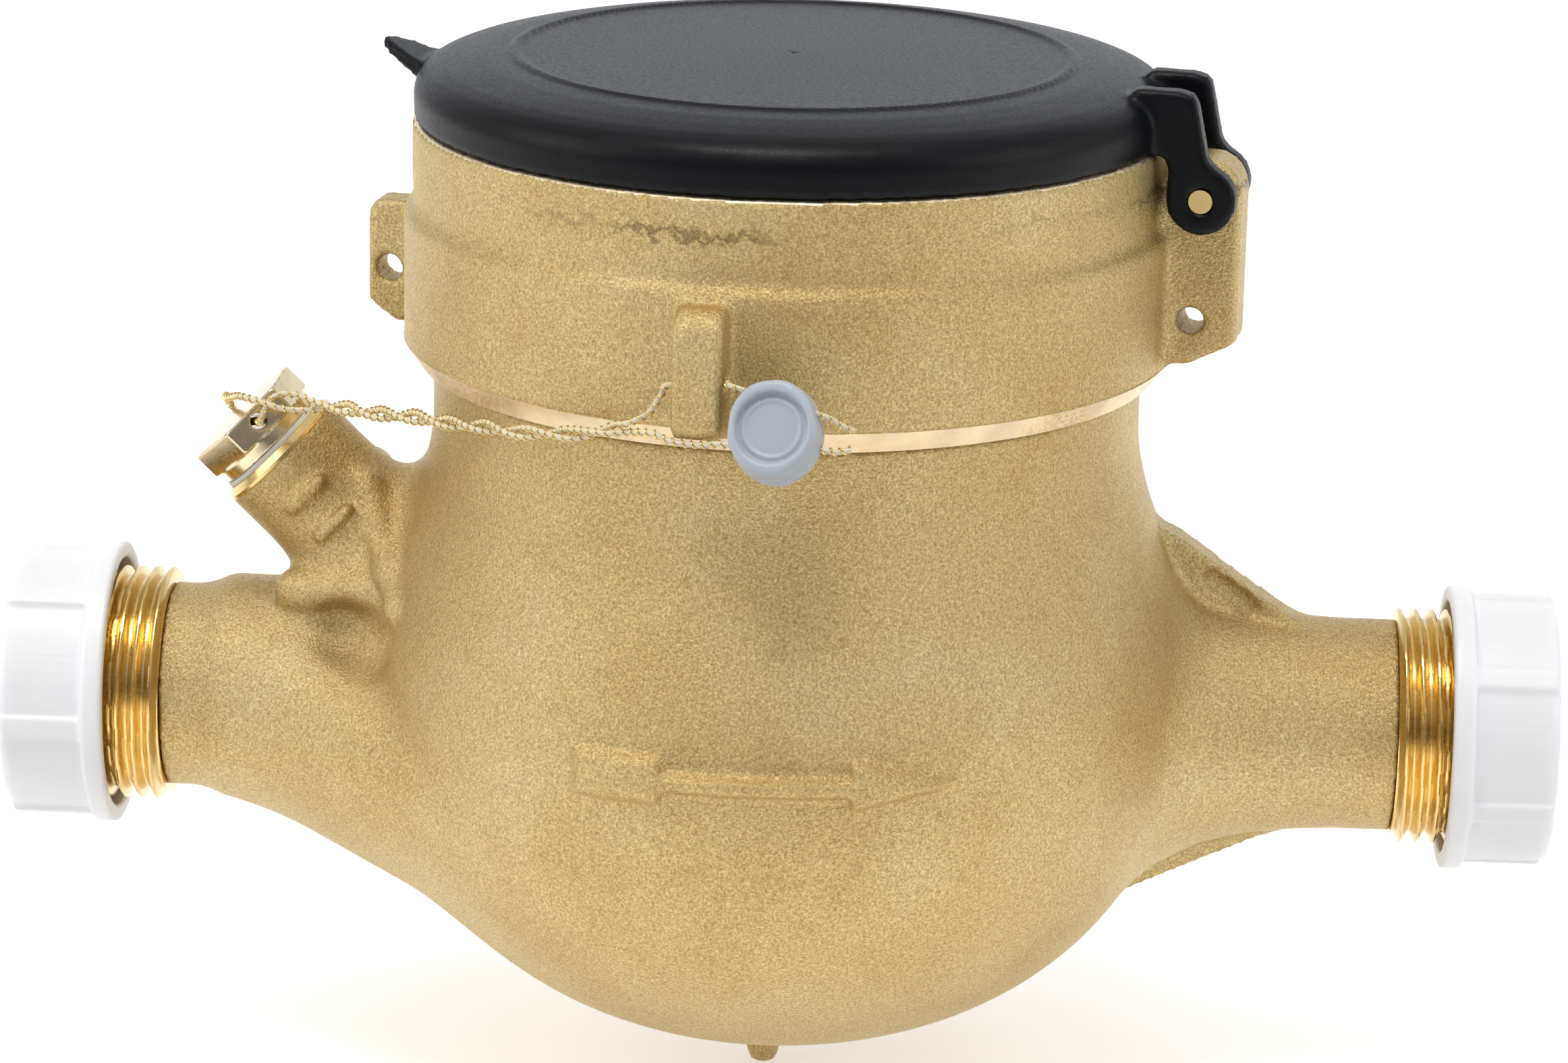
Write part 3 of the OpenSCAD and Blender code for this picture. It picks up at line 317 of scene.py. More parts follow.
# Meshes
def make(name, pts, faces, material, normals=None):
    me = bpy.data.meshes.new(name)
    me.vertices.add(len(pts))
    me.vertices.foreach_set("co", ((pts + (AXIS_X, 0, 0)) * MM).astype(np.float32).ravel())
    corners = faces.shape[1]
    me.loops.add(faces.size)
    me.loops.foreach_set("vertex_index", faces.astype(np.int32).ravel())
    me.polygons.add(len(faces))
    me.polygons.foreach_set("loop_start", (np.arange(len(faces)) * corners).astype(np.int32))
    me.update(calc_edges=True)
    me.validate()
    me.polygons.foreach_set("use_smooth", np.full(len(me.polygons), True))
    if normals is not None:
        me.normals_split_custom_set_from_vertices(normals.tolist())
    ob = bpy.data.objects.new(name, me)
    scene.collection.objects.link(ob)
    for m in material if isinstance(material, list) else [material]:
        me.materials.append(m)
    return ob


def outward(pts, quads):
    a, b, c, d = (pts[quads[:, i]] for i in range(4))
    six_volumes = np.einsum("ij,ij->i", a, np.cross(b, c)) + np.einsum("ij,ij->i", a, np.cross(c, d))
    return quads if six_volumes.sum() > 0 else quads[:, ::-1]


def wrap(rings, sides):
    """Quads between rings of points, each ring closed."""
    idx = np.arange(rings * sides).reshape(rings, sides)
    after = np.roll(idx, -1, 1)
    return np.stack([idx[:-1], after[:-1], after[1:], idx[1:]], axis=-1).reshape(-1, 4)


def lathe(name, points, at, x_axis, z_axis, material, sides=96):
    """Skin of (radius, height) points turned about an axis."""
    xa, za = np.array(x_axis), np.array(z_axis)
    ya = np.cross(za, xa)
    phi = circle(sides)
    spokes = np.cos(phi)[:, None] * xa + np.sin(phi)[:, None] * ya
    rings = np.array([np.array(at) + r * spokes + t * za for r, t in points])
    ob = make(name, rings.reshape(-1, 3), wrap(len(rings), sides), material)
    ob.data.set_sharp_from_angle(angle=math.radians(30))
    return ob


def mark(ob, test):
    """Give the second material to the faces whose centres pass the test."""
    centres = np.empty(len(ob.data.polygons) * 3, np.float32)
    ob.data.polygons.foreach_get("center", centres)
    centres = centres.reshape(-1, 3) / MM - (AXIS_X, 0, 0)
    ob.data.polygons.foreach_set("material_index", np.where(test(centres), 1, 0).astype(np.int32))


# Shader nodes
def shader(name):
    mat = bpy.data.materials.new(name)
    mat.use_nodes = True
    tree = mat.node_tree
    return mat, tree, tree.nodes["Principled BSDF"]


def coords(tree):
    return tree.nodes.new("ShaderNodeTexCoord").outputs["Object"]


def axes_of(tree, where):
    split = tree.nodes.new("ShaderNodeSeparateXYZ")
    tree.links.new(where, split.inputs[0])
    return split.outputs


def noise(tree, where, scale, detail=3.0, rough=0.55):
    n = tree.nodes.new("ShaderNodeTexNoise")
    n.inputs["Scale"].default_value = scale
    n.inputs["Detail"].default_value = detail
    n.inputs["Roughness"].default_value = rough
    tree.links.new(where, n.inputs["Vector"])
    return n.outputs["Fac"]


def ramp(tree, value, stops):
    r = tree.nodes.new("ShaderNodeValToRGB")
    while len(r.color_ramp.elements) < len(stops):
        r.color_ramp.elements.new(0.5)
    for e, (pos, col) in zip(r.color_ramp.elements, stops):
        e.position = pos
        e.color = (*col, 1)
    tree.links.new(value, r.inputs["Fac"])
    return r.outputs["Color"]


def spread(tree, value, low, high, lo_in=0.3, hi_in=0.7):
    m = tree.nodes.new("ShaderNodeMapRange")
    m.inputs["From Min"].default_value = lo_in
    m.inputs["From Max"].default_value = hi_in
    m.inputs["To Min"].default_value = low
    m.inputs["To Max"].default_value = high
    tree.links.new(value, m.inputs["Value"])
    return m.outputs["Result"]


def mix(tree, fac, a, b, mode="MIX"):
    m = tree.nodes.new("ShaderNodeMix")
    m.data_type = "RGBA"
    m.blend_type = mode
    if isinstance(fac, float):
        m.inputs["Factor"].default_value = fac
    else:
        tree.links.new(fac, m.inputs["Factor"])
    for sock, val in ((m.inputs["A"], a), (m.inputs["B"], b)):
        if isinstance(val, tuple):
            sock.default_value = (*val, 1)
        else:
            tree.links.new(val, sock)
    return m.outputs["Result"]


def calc(tree, operation, a, b):
    m = tree.nodes.new("ShaderNodeMath")
    m.operation = operation
    for sock, val in zip(m.inputs, (a, b)):
        if isinstance(val, float):
            sock.default_value = val
        else:
            tree.links.new(val, sock)
    return m.outputs[0]


def bump(tree, bsdf, height, strength, distance, under=None):
    b = tree.nodes.new("ShaderNodeBump")
    b.inputs["Strength"].default_value = strength
    b.inputs["Distance"].default_value = distance
    tree.links.new(height, b.inputs["Height"])
    if under is not None:
        tree.links.new(under, b.inputs["Normal"])
    tree.links.new(b.outputs["Normal"], bsdf.inputs["Normal"])
    return b.outputs["Normal"]


def grey(v):
    return (v, v, v)


# Materials
def seam_line(tree, where, height):
    """Broken line that the mould's joint leaves at a height, in metres."""
    wander = 0.0018
    line = spread(tree, noise(tree, where, 260, 5, 0.75), height - wander, height + wander, 0.25, 0.75)
    off = calc(tree, "ABSOLUTE", calc(tree, "SUBTRACT", axes_of(tree, where)["Z"], line), 0.0)
    band = spread(tree, off, 1, 0, 0.0001, 0.0006)
    patch = spread(tree, noise(tree, where, 45, 2), 0, 0.75, 0.46, 0.58)
    return calc(tree, "MULTIPLY", band, patch)


def cast_brass(name, seam=None):
    mat, tree, bsdf = shader(name)
    where = coords(tree)
    broad = noise(tree, where, 48, 5, 0.6)
    blotch = noise(tree, where, 130, 6, 0.7)
    peel = noise(tree, where, 900, 3)
    grain = noise(tree, where, 3900, 3, 0.6)
    fine = noise(tree, where, 9000, 2)
    tone = ramp(tree, broad, [
        (0.3, (0.50, 0.355, 0.140)), (0.52, (0.56, 0.418, 0.184)), (0.74, (0.60, 0.475, 0.240)),
    ])
    # Grain: darker and lighter specks of tone, with painted glints. Its brightest specks, lifted above
    # white and towards blue-white, are painted highlights.
    grain_tone_and_painted_glint = ramp(tree, grain, [
        (0.30, (0.68, 0.63, 0.56)), (0.50, grey(0.97)), (0.70, (1.38, 1.41, 1.46)),
    ])
    stain = ramp(tree, blotch, [(0.24, (0.88, 0.85, 0.84)), (0.36, grey(1.0))])
    colour = mix(tree, 1.0, mix(tree, 1.0, tone, grain_tone_and_painted_glint, "MULTIPLY"), stain, "MULTIPLY")
    if seam is not None:
        colour = mix(tree, seam_line(tree, where, seam), colour, (0.16, 0.11, 0.05))
    tree.links.new(colour, bsdf.inputs["Base Color"])
    bsdf.inputs["Metallic"].default_value = 0.88
    tree.links.new(spread(tree, grain, 0.52, 0.34), bsdf.inputs["Roughness"])
    under = bump(tree, bsdf, peel, 0.3, 0.0003)
    under = bump(tree, bsdf, grain, 0.9, 0.0002, under)
    bump(tree, bsdf, fine, 0.4, 0.00006, under)
    return mat


def turned_metal(name, color, rough):
    mat, tree, bsdf = shader(name)
    where = coords(tree)
    fine = noise(tree, where, 2600, 3)
    stain = noise(tree, where, 180, 4)
    tone = ramp(tree, stain, [(0.35, tuple(c * 0.82 for c in color)), (0.6, color)])
    tree.links.new(tone, bsdf.inputs["Base Color"])
    bsdf.inputs["Metallic"].default_value = 1.0
    tree.links.new(spread(tree, fine, rough * 0.7, rough * 1.5), bsdf.inputs["Roughness"])
    bump(tree, bsdf, fine, 0.12, 0.00004)
    return mat


def moulded(name, color, rough, scale, grain, vary, inner=0.0, shine=0.5):
    """Plastic or rubber: grain is its relief, vary its change of tone, inner the light that it lets in."""
    mat, tree, bsdf = shader(name)
    where = coords(tree)
    broad = noise(tree, where, 90, 3)
    fine = noise(tree, where, scale, 3)
    low = tuple(max(0, c * (1 - vary)) for c in color)
    high = tuple(min(1, c * (1 + vary)) for c in color)
    tree.links.new(ramp(tree, broad, [(0.35, low), (0.65, high)]), bsdf.inputs["Base Color"])
    tree.links.new(spread(tree, fine, rough * 0.85, min(1, rough * 1.2)), bsdf.inputs["Roughness"])
    bsdf.inputs["Specular IOR Level"].default_value = shine
    bump(tree, bsdf, fine, grain, 0.00006)
    if inner > 0:
        bsdf.inputs["Subsurface Weight"].default_value = inner
        bsdf.inputs["Subsurface Radius"].default_value = (0.002, 0.002, 0.002)
        bsdf.inputs["Subsurface Scale"].default_value = 0.6
    return mat


def clear(name):
    mat, tree, bsdf = shader(name)
    where = coords(tree)
    bsdf.inputs["Base Color"].default_value = (0.96, 0.98, 0.98, 1)
    bsdf.inputs["Transmission Weight"].default_value = 1.0
    bsdf.inputs["IOR"].default_value = 1.5
    tree.links.new(spread(tree, noise(tree, where, 300, 2), 0.0, 0.03), bsdf.inputs["Roughness"])
    return mat


CAST = cast_brass("cast_brass")
RING = cast_brass("ring_brass", seam=0.0636)
BRIGHT = turned_metal("bright_brass", (0.82, 0.60, 0.25), 0.2)
# Satin brass for turned faces: its pale colour is partly the machined finish and partly a painted sheen
# that stands in for the floor's reflection.
SATIN_WITH_PAINTED_SHEEN = turned_metal("satin_brass_painted_sheen", (0.95, 0.80, 0.57), 0.45)
PLUG = turned_metal("plug_brass", (0.80, 0.66, 0.42), 0.17)
STEEL = turned_metal("turned_steel", (0.62, 0.62, 0.63), 0.28)
LID = moulded("lid_plastic", (0.0030, 0.0035, 0.0045), 0.38, 2600, 0.2, 0.12, shine=0.16)
CAP = moulded("cap_plastic", (0.86, 0.865, 0.88), 0.36, 1800, 0.08, 0.02, inner=0.35)
INNER = moulded("inner_plastic", (0.74, 0.74, 0.71), 0.42, 1600, 0.1, 0.03)
FIBRE = moulded("gasket_fibre", (0.66, 0.64, 0.58), 0.6, 2200, 0.2, 0.1)
RUBBER = moulded("gasket_rubber", (0.022, 0.022, 0.023), 0.6, 2200, 0.2, 0.1)
PALE = moulded("pale_plastic", (0.43, 0.465, 0.51), 0.42, 1800, 0.1, 0.03, inner=0.25)
MAGNET = moulded("magnet_black", (0.045, 0.045, 0.05), 0.5, 2000, 0.2, 0.1)
RED = moulded("pointer_red", (0.55, 0.03, 0.025), 0.35, 1500, 0.05, 0.05)
DRUM = moulded("drum_black", (0.02, 0.02, 0.02), 0.4, 1500, 0.08, 0.1)
DIAL = moulded("dial_white", (0.80, 0.80, 0.78), 0.5, 1500, 0.04, 0.02)
INK = moulded("dial_ink", (0.015, 0.015, 0.017), 0.55, 1500, 0.02, 0.05)
GLASS = clear("window_glass")
NYLON = moulded("wire_core", (0.74, 0.66, 0.48), 0.3, 2500, 0.05, 0.05, inner=0.2)

by_slot = {
    "cast_brass": CAST, "bright_brass": BRIGHT, "lid_plastic": LID, "cap_plastic": CAP,
    "inner_plastic": INNER, "gasket_rubber": RUBBER, "magnet_black": MAGNET, "steel": STEEL,
    "pointer_red": RED, "drum_black": DRUM, "dial_white": DIAL, "window_glass": GLASS,
    "seal_plastic": PALE, "seal_wire": BRIGHT,
}
for part in frame["record"]["subparts"]:
    ob = nodes[part["node"]]
    ob.data.materials.clear()
    ob.data.materials.append(by_slot[part["material_slot"]])
nodes["plug_gasket"].data.materials[0] = FIBRE


# Body casting
def bowl_curve(inset, start, end, steps):
    """Points of the bowl's outline, set in from the skin, between two angles below the belly."""
    out = []
    for i in range(steps + 1):
        a = start + (end - start) * i / steps
        out.append((
            (BELLY_R - inset) * max(math.cos(a), 0) ** (2 / BOWL_POWER),
            BELLY_Z - (BOWL_DEPTH - inset) * max(math.sin(a), 0) ** (2 / BOWL_POWER),
        ))
    return out


def bowl_angle(z, inset):
    return math.asin(((BELLY_Z - z) / (BOWL_DEPTH - inset)) ** (BOWL_POWER / 2))


def flank_curve(inset, end_r, steps=30):
    """Points of the outline from the belly up to the neck."""
    return [
        (end_r + (BELLY_R - inset - end_r) * (1 + math.cos(math.pi * i / steps)) / 2,
         BELLY_Z + (NECK_Z - BELLY_Z) * i / steps)
        for i in range(1, steps + 1)
    ]


def neck_axes(f):
    """Distance from the regulator neck's axis, and height above its rim."""
    u, v, t = f.local(REG_AT, REG_SIDE, REG_OUT)
    return np.sqrt(u * u + v * v), t


def bowl(f):
    under_ring = RING_Z - 0.4
    return f.revolve(
        bowl_curve(0, math.pi / 2, 0, 60) + flank_curve(0, NECK_R)
        + [(NECK_R, under_ring), (BODY_THREAD_R, under_ring), (BODY_THREAD_R, BODY_TOP), (0, BODY_TOP)]
    )


def inlet_ramp(f):
    """Hull of rings just inside the bowl and of the inlet pipe's end."""
    inset, top_z = 2.0, -6
    points = []
    for r, z in bowl_curve(inset, bowl_angle(top_z, inset), math.radians(80), 8):
        points += [(r * math.cos(a), r * math.sin(a), z) for a in circle(96)]
    for x in (-62, -60):
        points += [(x, INLET_R * math.cos(a), INLET_R * math.sin(a)) for a in circle(64)]
    return f.hull(points)


def pipes(f, d):
    d = join(d, f.revolve_x([(0, -72), (INLET_R, -72), (INLET_R, -38), (0, -38)]), 5.0)
    flared = [
        (0, 36), (OUTLET_R + 7, 36), (OUTLET_R + 4.2, 44), (OUTLET_R + 2.2, 48), (OUTLET_R + 0.9, 53),
        (OUTLET_R + 0.2, 59), (OUTLET_R, 63), (OUTLET_R, 72), (0, 72),
    ]
    return join(d, f.revolve_x(flared), 3.0)


def outlet_webs(f, d):
    upper = [
        (34, OUTLET_R), (42.2, OUTLET_R + 10.8), (44.4, OUTLET_R + 9.9), (58.2, OUTLET_R + 0.2),
        (60.2, OUTLET_R - 2), (34, 0),
    ]
    lower = [
        (30, -OUTLET_R), (38.9, -OUTLET_R - 8.6), (56, -OUTLET_R - 0.6), (58.5, -OUTLET_R + 1.5), (30, 0),
    ]
    for web in (upper, lower):
        d = join(d, f.slab_xz(web, 0, WEB_T), 1.2)
    for side in (-1, 1):
        y = side * (WEB_T / 2 + 0.2)
        d = cut(d, f.capsule((48.3, y, 17.1), (52.3, y, 14.3), 1.25), 0.6)
    return d


def nub(f):
    profile = [
        (0, BOWL_BOTTOM + 2), (3.6, BOWL_BOTTOM + 1), (2.6, BOWL_BOTTOM - 2.4), (2.1, BOWL_BOTTOM - 4.4),
        (1.55, BOWL_BOTTOM - NUB_H + 0.4), (1.1, BOWL_BOTTOM - NUB_H), (0, BOWL_BOTTOM - NUB_H),
    ]
    return f.revolve(profile, NUB_X)


def regulator_neck(f, d):
    radial, t = neck_axes(f)
    flare = np.clip((-t - 6) / 12, 0, 1)
    return join(d, np.maximum(radial - (REG_R + 2.0 * flare * flare), -t - 20), 5.0)


def pocket(f, d):
    """Ledge, pit and ridge on each side, between the neck and the bowl."""
    ridge = [(-46.4, 4.9, 25.9), (-45.4, 7.2, 21.9), (-43.3, 11.2, 17.8), (-42.3, 16.2, 14.8)]
    for side in (-1, 1):
        d = join(d, f.capsule((-54.6, side * 6.6, 13.7), (-46.4, side * 9.4, 14.4), 2.0), 2.8)
        d = cut(d, f.capsule((-48.6, side * 10.9, 10.6), (-44.6, side * 14.6, 10.2), 2.3), 3.2)
        line = [(x, side * y, z) for x, y, z in ridge]
        for a, b in zip(line[:-1], line[1:]):
            d = join(d, f.capsule(a, b, 0.9), 2.2)
    return d


def neck_ribs(f, d):
    for below_rim, y in ((5.75, -7.8), (10.1, -8.35)):
        ends = []
        for across in (-1.5, 2.8):
            x, _, z = (REG_AT[i] - REG_OUT[i] * below_rim + REG_SIDE[i] * across for i in range(3))
            ends.append((x, y, z))
        d = join(d, f.capsule(*ends, 0.65), 1.2)
    return d


def flow_arrow(f, d):
    outline = [(x, z + ARROW_Z) for x, z in ARROW]
    off = polygon_distance(outline, f.x[:, 0, :], f.z[0])[:, None, :]
    rise = np.where(f.y < -20, np.clip((0.5 - off) / 0.9, 0, 1), 0)
    return d - ARROW_H * smooth(rise)


def body_skin(f):
    d = join(bowl(f), inlet_ramp(f), 3.0)
    d = pipes(f, d)
    d = outlet_webs(f, d)
    d = join(d, nub(f), 1.6)
    d = regulator_neck(f, d)
    d = pocket(f, d)
    d = neck_ribs(f, d)
    d = flow_arrow(f, d)
    above_rim = neck_axes(f)[1] + 0.85
    return np.maximum(d, np.where(f.x < -45, above_rim, -50))


def water_passages(f, d):
    upper = f.revolve(
        [(0, SHELF_Z)] + bowl_curve(WALL, bowl_angle(SHELF_Z, WALL), 0, 16) + flank_curve(WALL, NECK_BORE_R)
        + [(NECK_BORE_R, SEAT_Z), (PLATE_BORE_R, SEAT_Z), (PLATE_BORE_R, BODY_TOP + 3), (0, BODY_TOP + 3)]
    )
    channel_out = (math.cos(CHANNEL_LEAN), 0.0, -math.sin(CHANNEL_LEAN))
    channel_side = (math.sin(CHANNEL_LEAN), 0.0, math.cos(CHANNEL_LEAN))
    u, v, t = f.local(CHANNEL_AT, channel_side, channel_out)
    around = np.sqrt(u * u + v * v)
    length = np.maximum(CHANNEL_START - t, t - CHANNEL_END)
    outside_chamber = 31.3 - np.sqrt(f.x**2 + f.y**2)
    tube = np.maximum(np.maximum(around - CHANNEL_TUBE_R, length), outside_chamber)
    d = cut(d, cut(upper, tube))
    lower = bowl_curve(WALL, bowl_angle(UNDER_Z, WALL), math.radians(84), 16)
    d = cut(d, f.revolve([(0, UNDER_Z)] + lower + [(0, BOWL_BOTTOM + WALL + 0.4)]))
    shelf_hole = [(0, UNDER_Z - 0.5), (SHELF_HOLE_R, UNDER_Z - 0.5), (SHELF_HOLE_R, SHELF_Z + 0.5)]
    d = cut(d, f.revolve(shelf_hole + [(0, SHELF_Z + 0.5)]))
    d = cut(d, np.maximum(around - CHANNEL_R, length))
    d = cut(d, f.revolve_x([(0, -90), (BORE_R, -90), (BORE_R, -62), (0, -62)]))
    d = cut(d, f.revolve_x([(0, 36), (BORE_R, 36), (BORE_R, 90), (0, 90)]))
    radial, t = neck_axes(f)
    return cut(d, np.maximum(radial - REG_BORE_R, -t - 24))


def body_mesh(step):
    """The casting's mesh, and which of its faces lie inside, deeper than inner_depth."""
    inner_depth = 1.4
    f = Field((-71, -49, -45), (71, 49, 56), step)
    skin = body_skin(f)
    d = np.maximum(water_passages(f, skin), np.abs(f.x) - SHOULDER_X)
    pts, quads, normals = f.mesh(d)
    inner = f.sample(skin, pts)[quads].max(axis=1) < -inner_depth
    return (pts, quads, normals), inner


def split(name, mesh, keep):
    pts, quads, normals = mesh
    q = quads[keep]
    used, inv = np.unique(q, return_inverse=True)
    ob = make(name, pts[used], inv.reshape(q.shape), CAST, normals[used])
    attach(ob, "meter")
    return ob


def body():
    """Fine skin in three pieces, and the passages in a coarser one."""
    split_x = 34
    mesh, inner = body_mesh(0.58)
    middle = mesh[0][mesh[1]].mean(axis=1)[:, 0]
    bowl_piece = split("body_bowl", mesh, ~inner & (np.abs(middle) < split_x))
    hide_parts("meter_body")
    split("body_inlet", mesh, ~inner & (middle <= -split_x))
    split("body_outlet", mesh, ~inner & (middle >= split_x))
    mesh, inner = body_mesh(1.1)
    split("body_inside", mesh, inner)


def neck_rim():
    rim_r = REG_R + 0.02
    profile = [(7.3, -1.6), (rim_r, -1.1), (rim_r, -0.75), (7.05, -0.02), (5.05, -0.02), (REG_BORE_R, -1.0)]
    rim = lathe("neck_rim", profile, REG_AT, REG_SIDE, REG_OUT, BRIGHT)
    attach(rim, "meter")


body()
neck_rim()


# Port threads
def port_thread(name, side):
    sides, steps = 200, 130
    root_r = THREAD_R - THREAD_DEPTH
    phi = circle(sides)

    def ring(x, r):
        return np.stack([np.full(sides, SHOULDER_X + x), r * np.cos(phi), r * np.sin(phi)], axis=1)

    rings = [ring(0, 10.4)]
    for x in np.linspace(0, THREAD_L, steps):
        phase = (x / THREAD_PITCH - phi / (2 * math.pi)) % 1.0
        form = np.clip((np.abs(phase - 0.5) * 2 - 0.14) / 0.72, 0, 1)
        form = smooth(form) * 0.35 + form * 0.65
        r = THREAD_R - THREAD_DEPTH * (1 - form)
        r = np.minimum(r, root_r + max(0, THREAD_L - x))
        r = np.minimum(r, THREAD_R - max(0, 0.35 - x) * 0.8)
        rings.append(ring(x, r))
    rings += [ring(THREAD_L, BORE_R + 0.4), ring(THREAD_L - 0.4, BORE_R), ring(-0.2, BORE_R)]
    grid = np.array(rings)
    grid[:, :, 0] *= side
    quads = wrap(len(grid), sides)
    if side > 0:
        quads = quads[:, ::-1]
    ob = make(name, grid.reshape(-1, 3), quads, BRIGHT)
    ob.data.set_sharp_from_angle(angle=math.radians(40))
    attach(ob, "meter")


port_thread("inlet_port_thread", -1)
port_thread("outlet_port_thread", 1)


# Head ring
def hinge_ear(soft):
    """Outline of the hinge ear, smaller by the rounding of its edges."""
    knuckle = 4.0 - soft
    out = HINGE_X + knuckle
    foot = [(EAR_ROOT_R, 43.9 + soft), (out - 4.8, 43.9 + soft), (out, 46.7 + soft * 0.4)]
    arc = [
        (HINGE_X + knuckle * math.cos(a), HINGE_Z + knuckle * math.sin(a))
        for a in np.linspace(0, math.pi, 24)
    ]
    return foot + arc + [(HINGE_X - knuckle, HINGE_Z), (EAR_ROOT_R, HINGE_Z)]


def seal_tab(soft):
    out, low, high = 48 - soft, 41.9 + soft, 55.8 - soft
    return [
        (EAR_ROOT_R, low), (45 - soft * 0.4, low), (out, 44.3 + soft * 0.4), (out, 54.2), (out - 0.6, 55.2),
        (46.2, high), (EAR_ROOT_R, high),
    ]


def seal_lug(soft):
    out, low = 46.9 - soft, 43.0 + soft
    return [
        (EAR_ROOT_R, low), (45.9, low), (out, low + 0.8), (out, 53.9), (out - 0.2, 54.8), (out - 0.8, 55.4),
        (out - 1.7, 55.9), (EAR_ROOT_R, 56.6 - soft),
    ]


def head_ring():
    f = Field((-51, -49, 39), (52, 45, 69), 0.6)
    upper_r = RING_UPPER_R - 0.2
    d = f.revolve([
        (RING_THREAD_R, RING_Z), (40.9, RING_Z), (RING_R, 43.2), (RING_R, 56.8), (RING_R - 0.15, 57.5),
        (RING_R - 0.5, 58.0), (upper_r + 0.05, 58.4), (upper_r - 0.1, 59.2), (upper_r, 61.5),
        (upper_r, RING_TOP - 0.4), (upper_r - 0.4, RING_TOP), (RING_LIP_R, RING_TOP), (RING_LIP_R, 65),
        (RING_CHAMBER_R, 65), (RING_CHAMBER_R, 54.3), (RING_THREAD_R, 54.3),
    ])
    bore = np.sqrt(f.x**2 + f.y**2) - RING_THREAD_R

    def ear(outline, thick, turn, soft, k):
        plate = f.slab_xz(outline(soft), 0, thick - 2 * soft, HEAD_TURN + turn) - soft
        return join(d, np.maximum(plate, 0.5 - bore), k)

    def hole(x, z, r, turn):
        u = f.turned(HEAD_TURN + turn)[0]
        return cut(d, np.maximum(np.sqrt((u - x) ** 2 + (f.z - z) ** 2) - r, 36 - u))

    d = ear(hinge_ear, 7.0, 0, 0.6, 1.6)
    d = ear(seal_tab, 5.0, math.pi, 0.6, 1.4)
    d = ear(seal_lug, 5.4, LUG_TURN, 0.7, 1.0)
    d = hole(45.4, 48.9, 1.5, 0)
    d = hole(HINGE_X, HINGE_Z, 1.33, 0)
    d = hole(45.5, 48.0, 1.5, math.pi)
    d = hole(44.6, LUG_HOLE_Z, 1.1, LUG_TURN)
    pts, quads, normals = f.mesh(d)
    # The ring's turned top face takes the satin brass, whose pale colour is partly painted sheen.
    ob = make("head_ring_casting", pts, quads, [RING, SATIN_WITH_PAINTED_SHEEN], normals)
    mark(ob, lambda centres: centres[:, 2] > RING_TOP - 0.4)
    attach(ob, "meter")
    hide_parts("head_ring")


def ring_edge():
    """Turned edge under the ring: a thin skin on its chamfer, for a clean line."""
    profile = [(40.6, 40.9), (40.94, 40.77), (42.65, 43.18), (42.4, 43.3)]
    # The chamfer's satin brass is paler than turned brass: part of its brightness is painted sheen.
    edge = lathe("head_ring_edge", profile, (0, 0, 0), (1, 0, 0), (0, 0, 1), SATIN_WITH_PAINTED_SHEEN, sides=256)
    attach(edge, "meter")


head_ring()
ring_edge()


# Lid
def lid_shell():
    """Outline of the lid's outside, and of the hollow under it."""
    outer = [
        (0, LID_Z), (LID_R, LID_Z), (LID_R + 0.1, 70.6), (LID_R - 0.15, 71.6), (LID_R - 0.7, 72.5),
        (LID_R - 1.6, 73.2), (LID_R - 3.0, 73.75), (LID_R - 5.2, 74.25), (34, 74.65), (31.6, 74.85),
        (0, LID_TOP - 0.15),
    ]
    inner_r = LID_R - LID_WALL
    hollow = [
        (0, LID_Z - 4), (inner_r, LID_Z - 4), (inner_r, 70.4), (inner_r - 0.8, 71.4), (inner_r - 3, 72.2),
        (28, 72.8), (0, 73.1),
    ]
    return outer, hollow


def hinge_cheek(soft):
    low, r = LID_Z + 0.3 + soft, CHEEK_R - soft
    over = [
        (39.0, low), (39.0, LID_TOP - 0.9), (43.6, LID_TOP - 0.5 - soft), (44.9, LID_TOP - 0.9 - soft),
        (45.4 - soft * 0.5, LID_TOP - 1.9), (46.9 - soft, 67.2),
    ]
    arc = [
        (HINGE_X + r * math.cos(a), HINGE_Z + r * math.sin(a))
        for a in np.linspace(math.radians(70), -math.pi, 40)
    ]
    return over + arc + [(42.75 + soft, 66.2), (42.3 + soft, 67.5), (41.0, low)]


def tongue(f):
    """Lifting leaf on the lid's rim, opposite the hinge: thinner and narrower towards its tip."""
    length, rise = 7.0, math.radians(26)
    along, across = f.turned(HEAD_TURN)
    out, up = -(along + 40.5), f.z - 70.6
    tu = out * math.cos(rise) + up * math.sin(rise)
    tv = up * math.cos(rise) - out * math.sin(rise)
    s = np.clip(tu / length, 0, 1)
    half_w = 4.4 * np.sqrt(np.clip(1 - s**2, 0, 1)) * (1 - 0.25 * s)
    half_t = 0.95 - 0.45 * s
    ends = np.maximum(tu - length, -tu - 1.2)
    return np.maximum(np.maximum(np.abs(across) - half_w, np.abs(tv) - half_t), ends)


